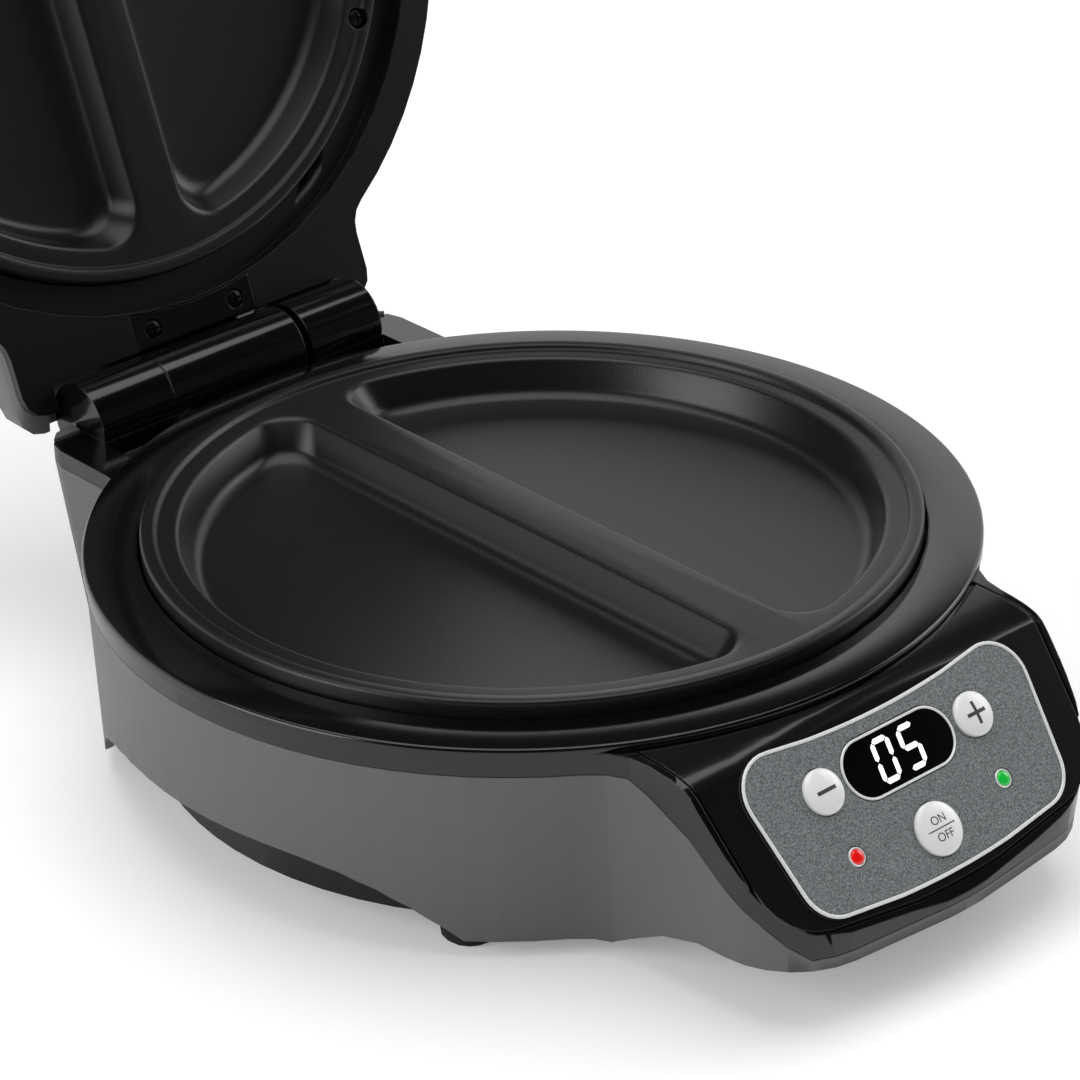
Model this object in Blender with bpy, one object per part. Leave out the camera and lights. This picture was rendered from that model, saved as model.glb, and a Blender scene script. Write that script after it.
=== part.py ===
"""Round countertop omelette maker with its lid open, in metres, +Z up.

The sizes are written with the deck's top at z = 0 and the plates' axis at x = y = 0.
The front (control panel) is -Y, the hinge is +Y. The root empty stands the appliance on z = 0.
The lid is drawn closed and hangs on an empty at the hinge axis that opens it.
"""
import math

import bmesh
import bpy
from mathutils import Matrix, Vector

for item in list(bpy.data.objects):
    bpy.data.objects.remove(item, do_unlink=True)

# Clearances and counts
GAP = 0.0003
OVERRUN = 0.01
MERGE = 0.000001
ROUND_STEPS = 48
SMALL_STEPS = 16
TINY_STEPS = 8
LAMP_STEPS = 12
STADIUM_STEPS = 8
BUTTON_STEPS = 18
BARREL_STEPS = 32
WELL_STEPS = 14
CIRCLE_SIDE_STEPS = 12
CIRCLE_FRONT_STEPS = 16
CORNER_STEPS = 3
NOSE_CORNER_STEPS = 6
PANEL_CORNER_STEPS = 6
STEP_IN = 0.0001
SMOOTH_ANGLE = math.radians(32)

# Base in plan: a round body with a control nose in front and a hinge tab behind
DECK_RADIUS = 0.1375
DECK_EDGE = 0.0007
BODY_RADIUS_TOP = DECK_RADIUS - 0.0006
BODY_RADIUS_LOW = BODY_RADIUS_TOP - 0.0059
BODY_SHIFT_LOW = 0.0084
BAND_DEPTH = 0.009
WALL_LOW = 0.0715
DECK_HEIGHT = WALL_LOW + 0.006
SHELL_WALL = 0.0026
ROOF = 0.0033
TAB_HALF_TOP = 0.0715
TAB_HALF_LOW = TAB_HALF_TOP - 0.005
TAB_END_TOP = DECK_RADIUS + 0.021
TAB_END_LOW = TAB_END_TOP - 0.0055
TAB_CORNER = 0.011
TAB_CORNER_LEAST = 0.003
TAB_FILLET = 0.009
TAB_DROP = 0.0033
NOSE_DROP = 0.0022
NOSE_FILLET = 0.022
NOSE_ROOT_HALF_TOP = 0.0715
NOSE_ROOT_HALF_LOW = NOSE_ROOT_HALF_TOP - 0.005
NOSE_TIP_HALF_TOP = NOSE_ROOT_HALF_TOP - 0.001
NOSE_TIP_HALF_LOW = NOSE_TIP_HALF_TOP - 0.0075
NOSE_FRONT_TOP = DECK_RADIUS + 0.0457
NOSE_FRONT_LOW = NOSE_FRONT_TOP - 0.001
NOSE_CORNER_TOP = 0.022
NOSE_CORNER_LOW = 0.03
NOSE_BULGE_RADIUS = 0.35
FRONT_ARC_SHARES = (0.25, 0.5, 0.75)
NOSE_UNDER_START = DECK_RADIUS - 0.0295
NOSE_UNDER_BEND_Y = DECK_RADIUS - 0.0095
NOSE_UNDER_BEND_DROP = WALL_LOW - 0.011
NOSE_UNDER_FLAT_Y = DECK_RADIUS + 0.0045
NOSE_UNDER_FRONT = WALL_LOW - 0.015

# Slope of the control panel: it falls away from the seam round the deck
SLOPE = math.radians(49.8)
CREASE_Y = DECK_RADIUS + 0.003
CREASE_DROP = 0.001
SEAM_RADIUS = DECK_RADIUS + 0.0015
CREST_Y = CREASE_Y + 0.0008
BEND_LENGTH = 0.0055
BEND_STEPS = 4
PANEL_COLUMNS = 8
PLANE_START_Y = -(CREST_Y + BEND_LENGTH * math.cos(SLOPE))
PLANE_START_S = (-PLANE_START_Y - CREASE_Y) / math.cos(SLOPE)
CUTTER_HALF = 0.085
CUTTER_RUN = 0.1
CUTTER_LIFT = 0.08
CUTTER_LEAD = 0.003

# Parting line between the black cover and the grey housing
PART_FLAT_Y = DECK_RADIUS - 0.0165
PART_BEND_Y = DECK_RADIUS + 0.0053
PART_BEND_DROP = 0.0205
PART_MID_Y = DECK_RADIUS + 0.0275
PART_MID_DROP = 0.0405
PART_LIP_Y = DECK_RADIUS + 0.037
PART_LIP_DROP = NOSE_UNDER_FRONT - 0.004
PART_REAR_Y = TAB_END_TOP - 0.005

# Arches low in the side walls
ARCH_Y = 0.002
ARCH_HALF = 0.08
ARCH_RISE = 0.024
ARCH_POWER = 4.5
ARCH_STEPS = 18

# Ring that carries the lower plate
PLATE_RADIUS = DECK_RADIUS - 0.0178
PLATE_SLIT = 0.0007
RING_WALL = 0.0022
LEDGE_WIDTH = 0.0129
LEDGE_THICKNESS = 0.0026
LEDGE_DROP = 0.0134
RING_INNER = PLATE_RADIUS + PLATE_SLIT
RING_OUTER = RING_INNER + RING_WALL
LEDGE_INNER = RING_INNER - LEDGE_WIDTH
LEDGE_LOW = LEDGE_DROP + LEDGE_THICKNESS
POST_RADIUS = 0.004
POST_PLACE_RADIUS = PLATE_RADIUS - 0.0067
POST_ANGLES = tuple(math.radians(a) for a in (12, 168, 192, 348))
CORNER_NAMES = ('_rear_right', '_rear_left', '_front_left', '_front_right')
SIDE_NAMES = ('_left', '_right')

# Hinge
AXIS_Y = DECK_RADIUS + 0.0175
AXIS_DROP = 0.001
BARREL_RADIUS = 0.0136
BARREL_HALF = 0.058
KNUCKLE_INNER = 0.0285
LID_KNUCKLE_LEFT = 0.0281
LID_KNUCKLE_RIGHT = 0.0255
PIN_RADIUS = 0.003
PIN_LEFT = -BARREL_HALF + 0.0035
PIN_RIGHT = BARREL_HALF - 0.0004
TOWER_FLOOR_DROP = 0.0096
TOWER_BASE_DROP = 0.018
POCKET_FLOOR_DROP = 0.0154
TOWER_FRONT = DECK_RADIUS - 0.016
TOWER_HALF = BARREL_HALF + 0.0028
OPEN_ANGLE = math.radians(110.35)

# Plates
RIM_HEIGHT = 0.005
RIM_WIDTH = 0.004
LAND_HEIGHT = 0.0035
PLATE_WALL = 0.003
SKIRT_DROP = 0.012
SKIRT_WALL = 0.0025
WELL_RADIUS = PLATE_RADIUS - 0.0117
WELL_DIVIDER = 0.009
WELL_CORNER = 0.012
WELL_DEPTH = 0.012
WELL_DRAFT = math.tan(math.radians(20))
PLATE_SCREW_RADIUS = PLATE_RADIUS - 0.0054
PLATE_SCREW_ANGLES = tuple(math.radians(a) for a in (31.7, 148.3, 211.7, 328.3))
PLATE_BOSS_RADIUS = 0.004

# Lid, drawn closed over the base
LID_FACE = 0.0054
LID_RADIUS = DECK_RADIUS + 0.0045
LID_TAB_HALF = TAB_HALF_TOP + 0.0005
LID_TAB_END = AXIS_Y - 0.005
LID_TAB_CORNER = 0.008
LID_TAB_FILLET = 0.012
FLANGE = 0.0028
FRAME_HOLE = PLATE_RADIUS + 0.0108
FRAME_WALL = 0.0024
CHANNEL_DEPTH = 0.0058
TROUGH_RADIUS = BARREL_RADIUS + 0.0018
TROUGH_HALF = BARREL_HALF + 0.002
TROUGH_WALL = 0.002
LID_WALL = 0.0024
LID_REAR_BULGE = 0.006
LID_SIDE_BULGE = 0.0006

# Bracket that ties the lid to its knuckle
BRACKET_HALF = 0.0244
BRACKET_TOP = 0.0123
BRACKET_WALL = 0.0025
BRACKET_SCREW_X = 0.017
BRACKET_SCREW_Y = AXIS_Y - 0.0195
WEB_HALF = 0.003

# Bottom cover and its seat in the housing
PAN_TOP_DROP = WALL_LOW - ARCH_RISE
PAN_FLOOR_DROP = WALL_LOW - 0.0055
PAN_WALL = 0.0025
PAN_INSET = 0.0109
PAN_FLANGE_INSET = 0.0034
SEAT_INNER = BODY_RADIUS_LOW - 0.0105
SEAT_THICKNESS = 0.0027
SEAT_LOW = PAN_TOP_DROP - GAP
SEAT_HIGH = SEAT_LOW - SEAT_THICKNESS
FOOT_RADIUS = 0.009
FOOT_ROLL = 0.0012
FOOT_X_SHARE = 0.6393
FOOT_Y_SHARE = 0.4989
FOOT_FRONT_X = DECK_RADIUS * FOOT_X_SHARE
FOOT_FRONT_Y = DECK_RADIUS * FOOT_Y_SHARE
FOOT_REAR_X = 0.046
FOOT_REAR_Y = TAB_END_TOP - 0.028

# Gland in the rear wall
GLAND_X = 0.035
GLAND_DROP = 0.034
GLAND_BORE = 0.0035
GLAND_NECK = 0.006
GLAND_FLANGE = 0.0085
GLAND_FLANGE_SHEET = 0.002
REAR_DRAFT = math.atan((TAB_END_TOP - TAB_END_LOW) / (WALL_LOW - BAND_DEPTH))
GLAND_Y = TAB_END_TOP - (GLAND_DROP - BAND_DEPTH) * math.tan(REAR_DRAFT)
GLAND_MATRIX = (Matrix.Translation((GLAND_X, GLAND_Y, -GLAND_DROP))
                @ Matrix.Rotation(-math.pi / 2 - REAR_DRAFT, 4, 'X'))

# Screws
SCREW_SHAFT = 0.0015
SCREW_HEAD = 0.0032
SCREW_HEAD_HEIGHT = 0.002
SCREW_SLOT = 0.0008
SCREW_SLOT_DEPTH = 0.0011
SCREW_TOP_SHARE = 0.8
SCREW_CROSS_SHARE = 0.62
POST_END_DROP = PAN_FLOOR_DROP - PAN_WALL - GAP
POST_BORE_TOP = POST_END_DROP - 0.0232
HOUSING_SCREW_TIP = POST_BORE_TOP + 0.001
PLATE_SCREW_TIP = 0.0015
UPPER_SCREW_LENGTH = 0.0165
PIN_REACH = BARREL_HALF + OVERRUN

# Heat shield, heating element and thermostat
MEETING = RIM_HEIGHT + GAP / 2
WELL_FOOT = 0.0025
WELL_FOOT_SHARE = 0.8
SHIELD_SHEET = 0.0008
SHIELD_FLOOR = 0.022
SHIELD_TOP_RADIUS = PLATE_RADIUS - 0.0135
SHIELD_FLOOR_RADIUS = SHIELD_TOP_RADIUS - 0.0017
SHIELD_RADIUS = PLATE_RADIUS - GAP
ELEMENT_RADIUS = 0.0033
ELEMENT_RING = WELL_RADIUS - 0.036
ELEMENT_OPENING = math.radians(9)
ELEMENT_STEPS = 28
ELEMENT_SIDES_RESOLUTION = 2
THERMOSTAT_RADIUS = 0.008
THERMOSTAT_HEIGHT = 0.006
THERMOSTAT_X = 0.03

# Control fascia and what sits in it, in the panel's frame: x across, y down the slope, z inwards
FASCIA_HALF_TOP = NOSE_ROOT_HALF_TOP - 0.0032
FASCIA_HALF_LOW = FASCIA_HALF_TOP - 0.0035
FASCIA_BOTTOM = 0.0608
FASCIA_CORNER = 0.021
FASCIA_THICKNESS = 0.0008
FASCIA_GROOVE = 0.0008
FASCIA_SEAT = FASCIA_THICKNESS + GAP
FASCIA_BACKING = FASCIA_SEAT + 0.0023
PANEL_BULGE = 0.3
BUTTON_X = 0.0304
BUTTON_S = 0.0215
BUTTON_RADIUS = 0.00675
START_S = 0.0456
START_RADIUS = 0.008
LAMP_X = 0.0299
LAMP_S = 0.0418
LAMP_RADIUS = 0.0022
LAMP_RING = 0.0029
DISPLAY_S = 0.0215
DISPLAY_HALF = 0.0217
DISPLAY_RADIUS = 0.0092
BEZEL_WIDTH = 0.001
MODULE_HALF = 0.0165
MODULE_REACH = 0.0055
BOARD_DEPTH = 0.012
BOARD_POST_X = 0.047
BOARD_POST_S = 0.032
BOARD_POST_RADIUS = 0.003
BOARD_SCREW_RADIUS = 0.0011
CAP_FLANGE = FASCIA_BACKING + GAP

# Pieces on the sloping panel
PANEL_TOP = 0.0073
PANEL_BOTTOM = FASCIA_BOTTOM - 0.0023
PANEL_HALF_TOP = FASCIA_HALF_TOP - 0.01
PANEL_HALF_LOW = PANEL_HALF_TOP - 0.0068
PANEL_CORNER = 0.012
BORDER_WIDTH = 0.0011
BORDER_HEIGHT = 0.0008
OVERLAY_SHEET = 0.0005
BEZEL_HEIGHT = 0.0009
WINDOW_SHEET = 0.0006
BOARD_HALF = 0.052
BOARD_TOP = 0.01
BOARD_BOTTOM = 0.054
BOARD_SHEET = 0.0016
BOARD_SCREW_TIP = 0.0065
BOARD_SCREW_HEAD = 0.0024
BOARD_SCREW_HEIGHT = 0.0016
CAP_TOP = 0.0031
CAP_DOME = 0.0016
CAP_DOME_SHARES = ((0.55, 0.1), (0.82, 0.38), (0.96, 0.75), (1.0, 1.0))
CAP_LIP = 0.0012
CAP_LIP_SHEET = 0.0009
CAP_STEM = 0.0017
CAP_STEM_END = 0.0062
BUTTON_TRAVEL = 0.001
SWITCH_HALF = 0.003
SWITCH_HEIGHT = 0.0035
LAMP_TOP = 0.0017
LAMP_CROWN_SHARE = 0.7
LAMP_SHOULDER = 0.005
LAMP_PIPE = 0.0014
LAMP_RING_HEIGHT = 0.0007

# Lid shell: each row gives shares of the dome's height, radius, tab half-width and tab end,
# and how far the inner face lies under the outer one
LID_DOME_HEIGHT = 0.0328
LID_FLARE = 0.003
DOME_SHARES = ((0.48, 0.98, 0.97, 0.981, 0.3), (0.7, 0.926, 0.88, 0.936, 0.7),
               (0.872, 0.813, 0.716, 0.846, 0.9), (0.97, 0.645, 0.551, 0.692, 1.0),
               (1.0, 0.42, 0.358, 0.474, 1.0))
HANDLE_ROOT_HALF = 0.036
HANDLE_TIP_HALF = 0.03
HANDLE_CORNER = 0.009
HANDLE_REACH = 0.022
HANDLE_LOW = 0.0115
HANDLE_HIGH = 0.0225
HANDLE_ROLL = 0.002
HANDLE_ROLL_SHARE = 0.94
HANDLE_SCREW_X = 0.022
HANDLE_SCREW_Z = 0.017
HANDLE_SCREW_SEAT = LID_RADIUS - 0.0067
HANDLE_SCREW_LENGTH = 0.0164
BRACKET_LIP = 0.0006
BRACKET_BOSS_TOP = 0.021
BRACKET_SCREW_END = 0.019
STRAP_END = AXIS_Y + 0.0025
TROUGH_END_INSET = LID_WALL + GAP


def spaced(start, end, steps):
    """Even values from start to end."""
    return [start + (end - start) * i / steps for i in range(steps + 1)]


def blend(first, second, share):
    return first + (second - first) * share


def arc(centre, radius, start, end, steps):
    """Points on an arc in a plane."""
    return [(centre[0] + radius * math.cos(t), centre[1] + radius * math.sin(t))
            for t in spaced(start, end, steps)]


def rounded_corner(before, point, after, radius, steps):
    """Arc that rounds the corner of an outline."""
    corner = Vector(point)
    back = (Vector(before) - corner).normalized()
    ahead = (Vector(after) - corner).normalized()
    half = back.angle(ahead) / 2
    centre = corner + (back + ahead).normalized() * (radius / math.sin(half))
    first = corner + back * (radius / math.tan(half)) - centre
    last = corner + ahead * (radius / math.tan(half)) - centre
    start = math.atan2(first.y, first.x)
    turn = math.remainder(math.atan2(last.y, last.x) - start, math.tau)
    return arc(centre, radius, start, start + turn, steps)


def rounded_outline(corners, steps):
    """Closed outline from (point, radius) pairs."""
    points = []
    for i, (point, radius) in enumerate(corners):
        before = corners[i - 1][0]
        after = corners[(i + 1) % len(corners)][0]
        points += rounded_corner(before, point, after, radius, steps)
    return points


def clean(bm):
    """Joins the points that coincide and turns the faces outwards."""
    bmesh.ops.remove_doubles(bm, verts=bm.verts, dist=MERGE)
    bmesh.ops.dissolve_degenerate(bm, dist=MERGE, edges=bm.edges)
    bmesh.ops.recalc_face_normals(bm, faces=bm.faces)
    return bm


def loft(rings):
    """Closed body through rings of equal counts, each a list of 3-D points."""
    bm = bmesh.new()
    loops = [[bm.verts.new(point) for point in ring] for ring in rings]
    bm.faces.new(list(reversed(loops[0])))
    bm.faces.new(loops[-1])
    for low, high in zip(loops, loops[1:]):
        for i in range(len(low)):
            j = (i + 1) % len(low)
            bm.faces.new((low[i], low[j], high[j], high[i]))
    return clean(bm)


def prism(outline, low, high):
    """Upright body over an outline in x and y."""
    return loft([[(x, y, z) for x, y in outline] for z in (low, high)])


def prism_x(profile, left, right):
    """Body with a profile in y and z that runs along x."""
    return loft([[(x, y, z) for y, z in profile] for x in (left, right)])


def box(left, right, front, back, low, high):
    return prism([(left, front), (right, front), (right, back), (left, back)], low, high)


def turned(profile, steps=ROUND_STEPS):
    """Body turned about z from a profile of (radius, height) points.

    A profile that starts and ends on the axis stays open, any other is closed.
    """
    bm = bmesh.new()
    points = [bm.verts.new((radius, 0, height)) for radius, height in profile]
    edges = [bm.edges.new(pair) for pair in zip(points, points[1:])]
    if profile[0][0] > 0:
        edges.append(bm.edges.new((points[-1], points[0])))
    bmesh.ops.spin(bm, geom=points + edges, cent=(0, 0, 0), axis=(0, 0, 1),
                   angle=math.tau, steps=steps)
    return clean(bm)


def rod(radius, low, high, steps=SMALL_STEPS):
    """Upright cylinder on the z axis."""
    return turned([(0, low), (radius, low), (radius, high), (0, high)], steps)


def rod_x(radius, left, right, steps=SMALL_STEPS):
    """Cylinder along the hinge axis."""
    bm = rod(radius, left, right, steps)
    bm.transform(Matrix.Translation((0, AXIS_Y, -AXIS_DROP)) @ Matrix.Rotation(math.pi / 2, 4, 'Y'))
    return bm


def moved(bm, x=0.0, y=0.0, z=0.0):
    bm.transform(Matrix.Translation((x, y, z)))
    return bm


def scratch(bm):
    mesh = bpy.data.meshes.new('scratch')
    bm.to_mesh(mesh)
    item = bpy.data.objects.new('scratch', mesh)
    bpy.context.scene.collection.objects.link(item)
    return item


def combined(bm, tools, operation):
    """The body after a Boolean with each tool."""
    for tool in tools:
        body = scratch(bm)
        other = scratch(tool)
        modifier = body.modifiers.new('step', 'BOOLEAN')
        modifier.operation = operation
        modifier.solver = 'EXACT'
        modifier.object = other
        bpy.context.view_layer.update()
        graph = bpy.context.evaluated_depsgraph_get()
        result = bmesh.new()
        result.from_mesh(body.evaluated_get(graph).data)
        bpy.data.objects.remove(body, do_unlink=True)
        bpy.data.objects.remove(other, do_unlink=True)
        bm = clean(result)
    return bm


def cut(bm, *tools):
    return combined(bm, tools, 'DIFFERENCE')


def joined(bm, *tools):
    return combined(bm, tools, 'UNION')


def within(bm, *tools):
    return combined(bm, tools, 'INTERSECT')


def material(name, colour, roughness, metallic=0.0):
    """Plain surface of one colour, given as red, green and blue from 0 to 1."""
    surface = bpy.data.materials.new(name)
    surface.use_nodes = True
    shader = surface.node_tree.nodes['Principled BSDF']
    shader.inputs['Base Color'].default_value = (*colour, 1)
    shader.inputs['Roughness'].default_value = roughness
    shader.inputs['Metallic'].default_value = metallic
    return surface


def placed(name, data, parent, location=(0, 0, 0), rotation=(0, 0, 0)):
    """One object that shows a mesh or a curve, or no data for an empty."""
    item = bpy.data.objects.new(name, data)
    bpy.context.scene.collection.objects.link(item)
    item.parent = parent
    item.location = location
    item.rotation_euler = rotation
    return item


def surfaced(name, bm, surface):
    """A finished mesh with its material and smooth shading."""
    mesh = bpy.data.meshes.new(name)
    bm.to_mesh(mesh)
    mesh.materials.append(surface)
    mesh.shade_smooth()
    mesh.set_sharp_from_angle(angle=SMOOTH_ANGLE)
    return mesh


def piece(name, bm, surface, parent, location=(0, 0, 0), rotation=(0, 0, 0)):
    """One named sub-part from a finished mesh."""
    return placed(name, surfaced(name, bm, surface), parent, location, rotation)


def copies(name, bm, surface, parent, places, rotation=(0, 0, 0)):
    """A repeated piece: one object at each named place, all with the same mesh."""
    mesh = surfaced(name, bm, surface)
    for suffix, location in places:
        placed(name + suffix, mesh, parent, location, rotation)


# Materials
GREY_PLASTIC = material('grey_plastic', (0.16, 0.165, 0.17), 0.38)
BLACK_GLOSS = material('black_gloss', (0.008, 0.008, 0.009), 0.12)
BLACK_SATIN = material('black_satin', (0.012, 0.012, 0.013), 0.35)
DARK_PAN = material('dark_pan', (0.02, 0.02, 0.02), 0.5)
FASCIA_GLOSS = material('fascia_gloss', (0.015, 0.018, 0.018), 0.2)
PANEL_GREY = material('panel_grey', (0.15, 0.155, 0.16), 0.55)
SILVER = material('silver', (0.85, 0.86, 0.86), 0.25)
WINDOW_BLACK = material('window_black', (0.002, 0.002, 0.002), 0.1)
MODULE_WHITE = material('module_white', (0.6, 0.6, 0.58), 0.6)
BOARD_GREEN = material('board_green', (0.03, 0.18, 0.07), 0.5)
LAMP_RED = material('lamp_red', (0.7, 0.01, 0.01), 0.2)
LAMP_GREEN = material('lamp_green', (0.02, 0.5, 0.04), 0.2)
NON_STICK = material('non_stick', (0.02, 0.02, 0.021), 0.35)
ELEMENT_STEEL = material('element_steel', (0.25, 0.24, 0.22), 0.45, 1.0)
SHIELD_STEEL = material('shield_steel', (0.6, 0.6, 0.58), 0.35, 1.0)
SCREW_STEEL = material('screw_steel', (0.3, 0.3, 0.3), 0.35, 1.0)
RUBBER = material('rubber', (0.015, 0.015, 0.015), 0.8)

ROOT = placed('root', None, None)
PANEL_MATRIX = Matrix(((1, 0, 0, 0),
                       (0, -math.cos(SLOPE), math.sin(SLOPE), -CREASE_Y),
                       (0, -math.sin(SLOPE), -math.cos(SLOPE), -CREASE_DROP),
                       (0, 0, 0, 1)))
INWARD = Vector((0, math.sin(SLOPE), -math.cos(SLOPE)))


# Outline of the base
def quarter(radius, half, fillet):
    """Circle from the x axis up to a straight side at x = half, with the fillet between them."""
    reach = math.sqrt((radius + fillet) ** 2 - (half + fillet) ** 2)
    angle = math.atan2(reach, half + fillet)
    round_part = arc((0, 0), radius, 0, angle, CIRCLE_SIDE_STEPS)
    fillet_part = arc((half + fillet, reach), fillet, angle + math.pi, math.pi, CORNER_STEPS)
    return round_part + fillet_part[1:]


def tab_chain(radius, half, end, corner, fillet):
    """Right half of the rear outline, from the x axis to the tab's rear edge."""
    side = quarter(radius, half, fillet)
    return side + arc((half - corner, end - corner), corner, 0, math.pi / 2, CORNER_STEPS)


def nose_chain(radius, root_half, tip_half, front, corner, fillet):
    """Right half of the front outline, from beside the front centre back to the x axis."""
    side = [(x, -y) for x, y in quarter(radius, root_half, fillet)]
    side_end = side[-1]
    sag = tip_half ** 2 / (2 * NOSE_BULGE_RADIUS)
    point = (tip_half, sag - front)
    inner = tip_half - 2 * corner
    after = (inner, inner ** 2 / (2 * NOSE_BULGE_RADIUS) - front)
    turn = rounded_corner(after, point, side_end, corner, NOSE_CORNER_STEPS)
    bow = [(inner * share, (inner * share) ** 2 / (2 * NOSE_BULGE_RADIUS) - front)
           for share in FRONT_ARC_SHARES]
    return bow + turn + side[:0:-1]


def mirrored_outline(front, chain):
    """Full outline from its right half and its point at the front centre."""
    left = [(-x, y) for x, y in reversed(chain)]
    return [(0, -front)] + chain + left


def base_outline(drop, inset=0.0, nose=True, lean=BODY_SHIFT_LOW):
    """Outline of the base at a depth under the deck, moved inwards by the inset.

    The round part leans: its centre moves back on the way down, by the lean at the wall's foot.
    """
    share = (drop - BAND_DEPTH) / (WALL_LOW - BAND_DEPTH)
    share = max(share, 0.0)
    shift = lean * share
    radius = blend(BODY_RADIUS_TOP, BODY_RADIUS_LOW, share) - inset
    chain = tab_chain(radius, blend(TAB_HALF_TOP, TAB_HALF_LOW, share) - inset,
                      blend(TAB_END_TOP, TAB_END_LOW, share) - inset - shift,
                      max(TAB_CORNER - inset, TAB_CORNER_LEAST), TAB_FILLET + inset)
    tip = radius
    if nose:
        tip = blend(NOSE_FRONT_TOP, NOSE_FRONT_LOW, share) - inset + shift
        chain = nose_chain(radius, blend(NOSE_ROOT_HALF_TOP, NOSE_ROOT_HALF_LOW, share) - inset,
                           blend(NOSE_TIP_HALF_TOP, NOSE_TIP_HALF_LOW, share) - inset, tip,
                           blend(NOSE_CORNER_TOP, NOSE_CORNER_LOW, share) - inset,
                           NOSE_FILLET + inset) + chain
    else:
        front = [(x, -y) for x, y in reversed(arc((0, 0), radius, 0, math.pi / 2, CIRCLE_FRONT_STEPS))]
        chain = front[1:-1] + chain
    return [(x, y + shift) for x, y in mirrored_outline(tip, chain)]


def base_loft(drops, inset=0.0, nose=True, lean=BODY_SHIFT_LOW):
    return loft([[(x, y, -drop) for x, y in base_outline(drop, inset, nose, lean)] for drop in drops])


# Sloping surface of the nose
def seam_point(x, radius):
    return -math.sqrt(radius ** 2 - x ** 2)


def slope_z(y):
    """Height of the panel's plane at a place in y."""
    return -CREASE_DROP - (-CREASE_Y - y) * math.tan(SLOPE)


def bent_row(x, step):
    """Point of the surface that bends from the seam over the crest into the panel's plane."""
    share = step / BEND_STEPS
    start = Vector((seam_point(x, SEAM_RADIUS), -NOSE_DROP))
    crest = Vector((-CREST_Y, -NOSE_DROP))
    end = Vector((PLANE_START_Y, slope_z(PLANE_START_Y)))
    point = start * (1 - share) ** 2 + crest * (2 * share * (1 - share)) + end * share ** 2
    return (x, point.x, point.y)


def slope_slab(half, outline, lead, depth, direction, thickness, columns=PANEL_COLUMNS):
    """Body under or over the nose's surface.

    The surface runs from the seam over the bend to the outline's lower edge, given in the panel's
    plane as (x, distance down) from its right upper end to its left. The lead adds a flat strip
    behind the seam. The surface is shifted inwards by the depth and swept along the direction.
    """
    bm = bmesh.new()
    xs = spaced(-half, half, columns)
    rows = [[bent_row(x, step) for x in xs] for step in range(BEND_STEPS + 1)]
    if lead > 0:
        rows.insert(0, [(x, seam_point(x, SEAM_RADIUS) + lead, -NOSE_DROP) for x in xs])
    shift = INWARD * depth
    grid = [[bm.verts.new(Vector(point) + shift) for point in row] for row in rows]
    for upper, lower in zip(grid, grid[1:]):
        for i in range(columns):
            bm.faces.new((upper[i], upper[i + 1], lower[i + 1], lower[i]))
    edge = [bm.verts.new((PANEL_MATRIX @ Vector((x, s, 0))) + shift) for x, s in outline]
    bm.faces.new(grid[-1] + edge)
    lifted = bmesh.ops.extrude_face_region(bm, geom=bm.faces[:])
    points = [item for item in lifted['geom'] if isinstance(item, bmesh.types.BMVert)]
    bmesh.ops.translate(bm, verts=points, vec=Vector(direction) * thickness)
    return clean(bm)


def slope_cutter(depth=0.0):
    """Everything above the nose's surface, or above it shifted inwards."""
    far = [(CUTTER_HALF, CUTTER_RUN), (-CUTTER_HALF, CUTTER_RUN)]
    return slope_slab(CUTTER_HALF, far, CUTTER_LEAD, depth, (0, 0, 1), CUTTER_LIFT)


def nose_under(lift=0.0):
    """Everything under the nose's rising underside."""
    run = NOSE_FRONT_TOP + OVERRUN
    profile = [(-NOSE_UNDER_START, -WALL_LOW + lift), (-NOSE_UNDER_START, -WALL_LOW - OVERRUN),
               (-run, -WALL_LOW - OVERRUN), (-run, -NOSE_UNDER_FRONT + lift),
               (-NOSE_UNDER_FLAT_Y, -NOSE_UNDER_FRONT + lift),
               (-NOSE_UNDER_BEND_Y, -NOSE_UNDER_BEND_DROP + lift)]
    return prism_x(profile, -CUTTER_HALF, CUTTER_HALF)


def upper_region(gap=0.0):
    """Everything above the parting line."""
    top = OVERRUN
    run = NOSE_FRONT_TOP + OVERRUN
    profile = [(-run, top), (-run, -PART_LIP_DROP - gap), (-PART_LIP_Y, -PART_LIP_DROP - gap),
               (-PART_MID_Y, -PART_MID_DROP - gap), (-PART_BEND_Y, -PART_BEND_DROP - gap),
               (-PART_FLAT_Y, -BAND_DEPTH - gap),
               (PART_REAR_Y + gap, -BAND_DEPTH - gap), (PART_REAR_Y + gap, top)]
    return prism_x(profile, -DECK_RADIUS - OVERRUN, DECK_RADIUS + OVERRUN)


def base_exterior():
    """Outer form of the whole base, before it is parted and hollowed."""
    body = base_loft((NOSE_DROP, BAND_DEPTH, WALL_LOW))
    wide = DECK_RADIUS + OVERRUN
    tab_top = box(-wide, wide, 0, PART_REAR_Y + GAP / 2, -TAB_DROP, OVERRUN)
    return cut(body, slope_cutter(), nose_under(), tab_top)


BASE_BODY = base_exterior()


def lower_edge(half_top, half_low, top, bottom, corner):
    """Outline of a panel piece from its right upper end round the bottom to its left upper end."""
    sag = half_low ** 2 / (2 * PANEL_BULGE)
    inner = half_low - 2 * corner
    after = (inner, bottom - inner ** 2 / (2 * PANEL_BULGE))
    turn = rounded_corner((half_top, top), (half_low, bottom - sag), after, corner, NOSE_CORNER_STEPS)
    bow = [(inner * share, bottom - (inner * share) ** 2 / (2 * PANEL_BULGE))
           for share in reversed(FRONT_ARC_SHARES)]
    right = turn + bow
    return right + [(0, bottom)] + [(-x, s) for x, s in reversed(right)]


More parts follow.
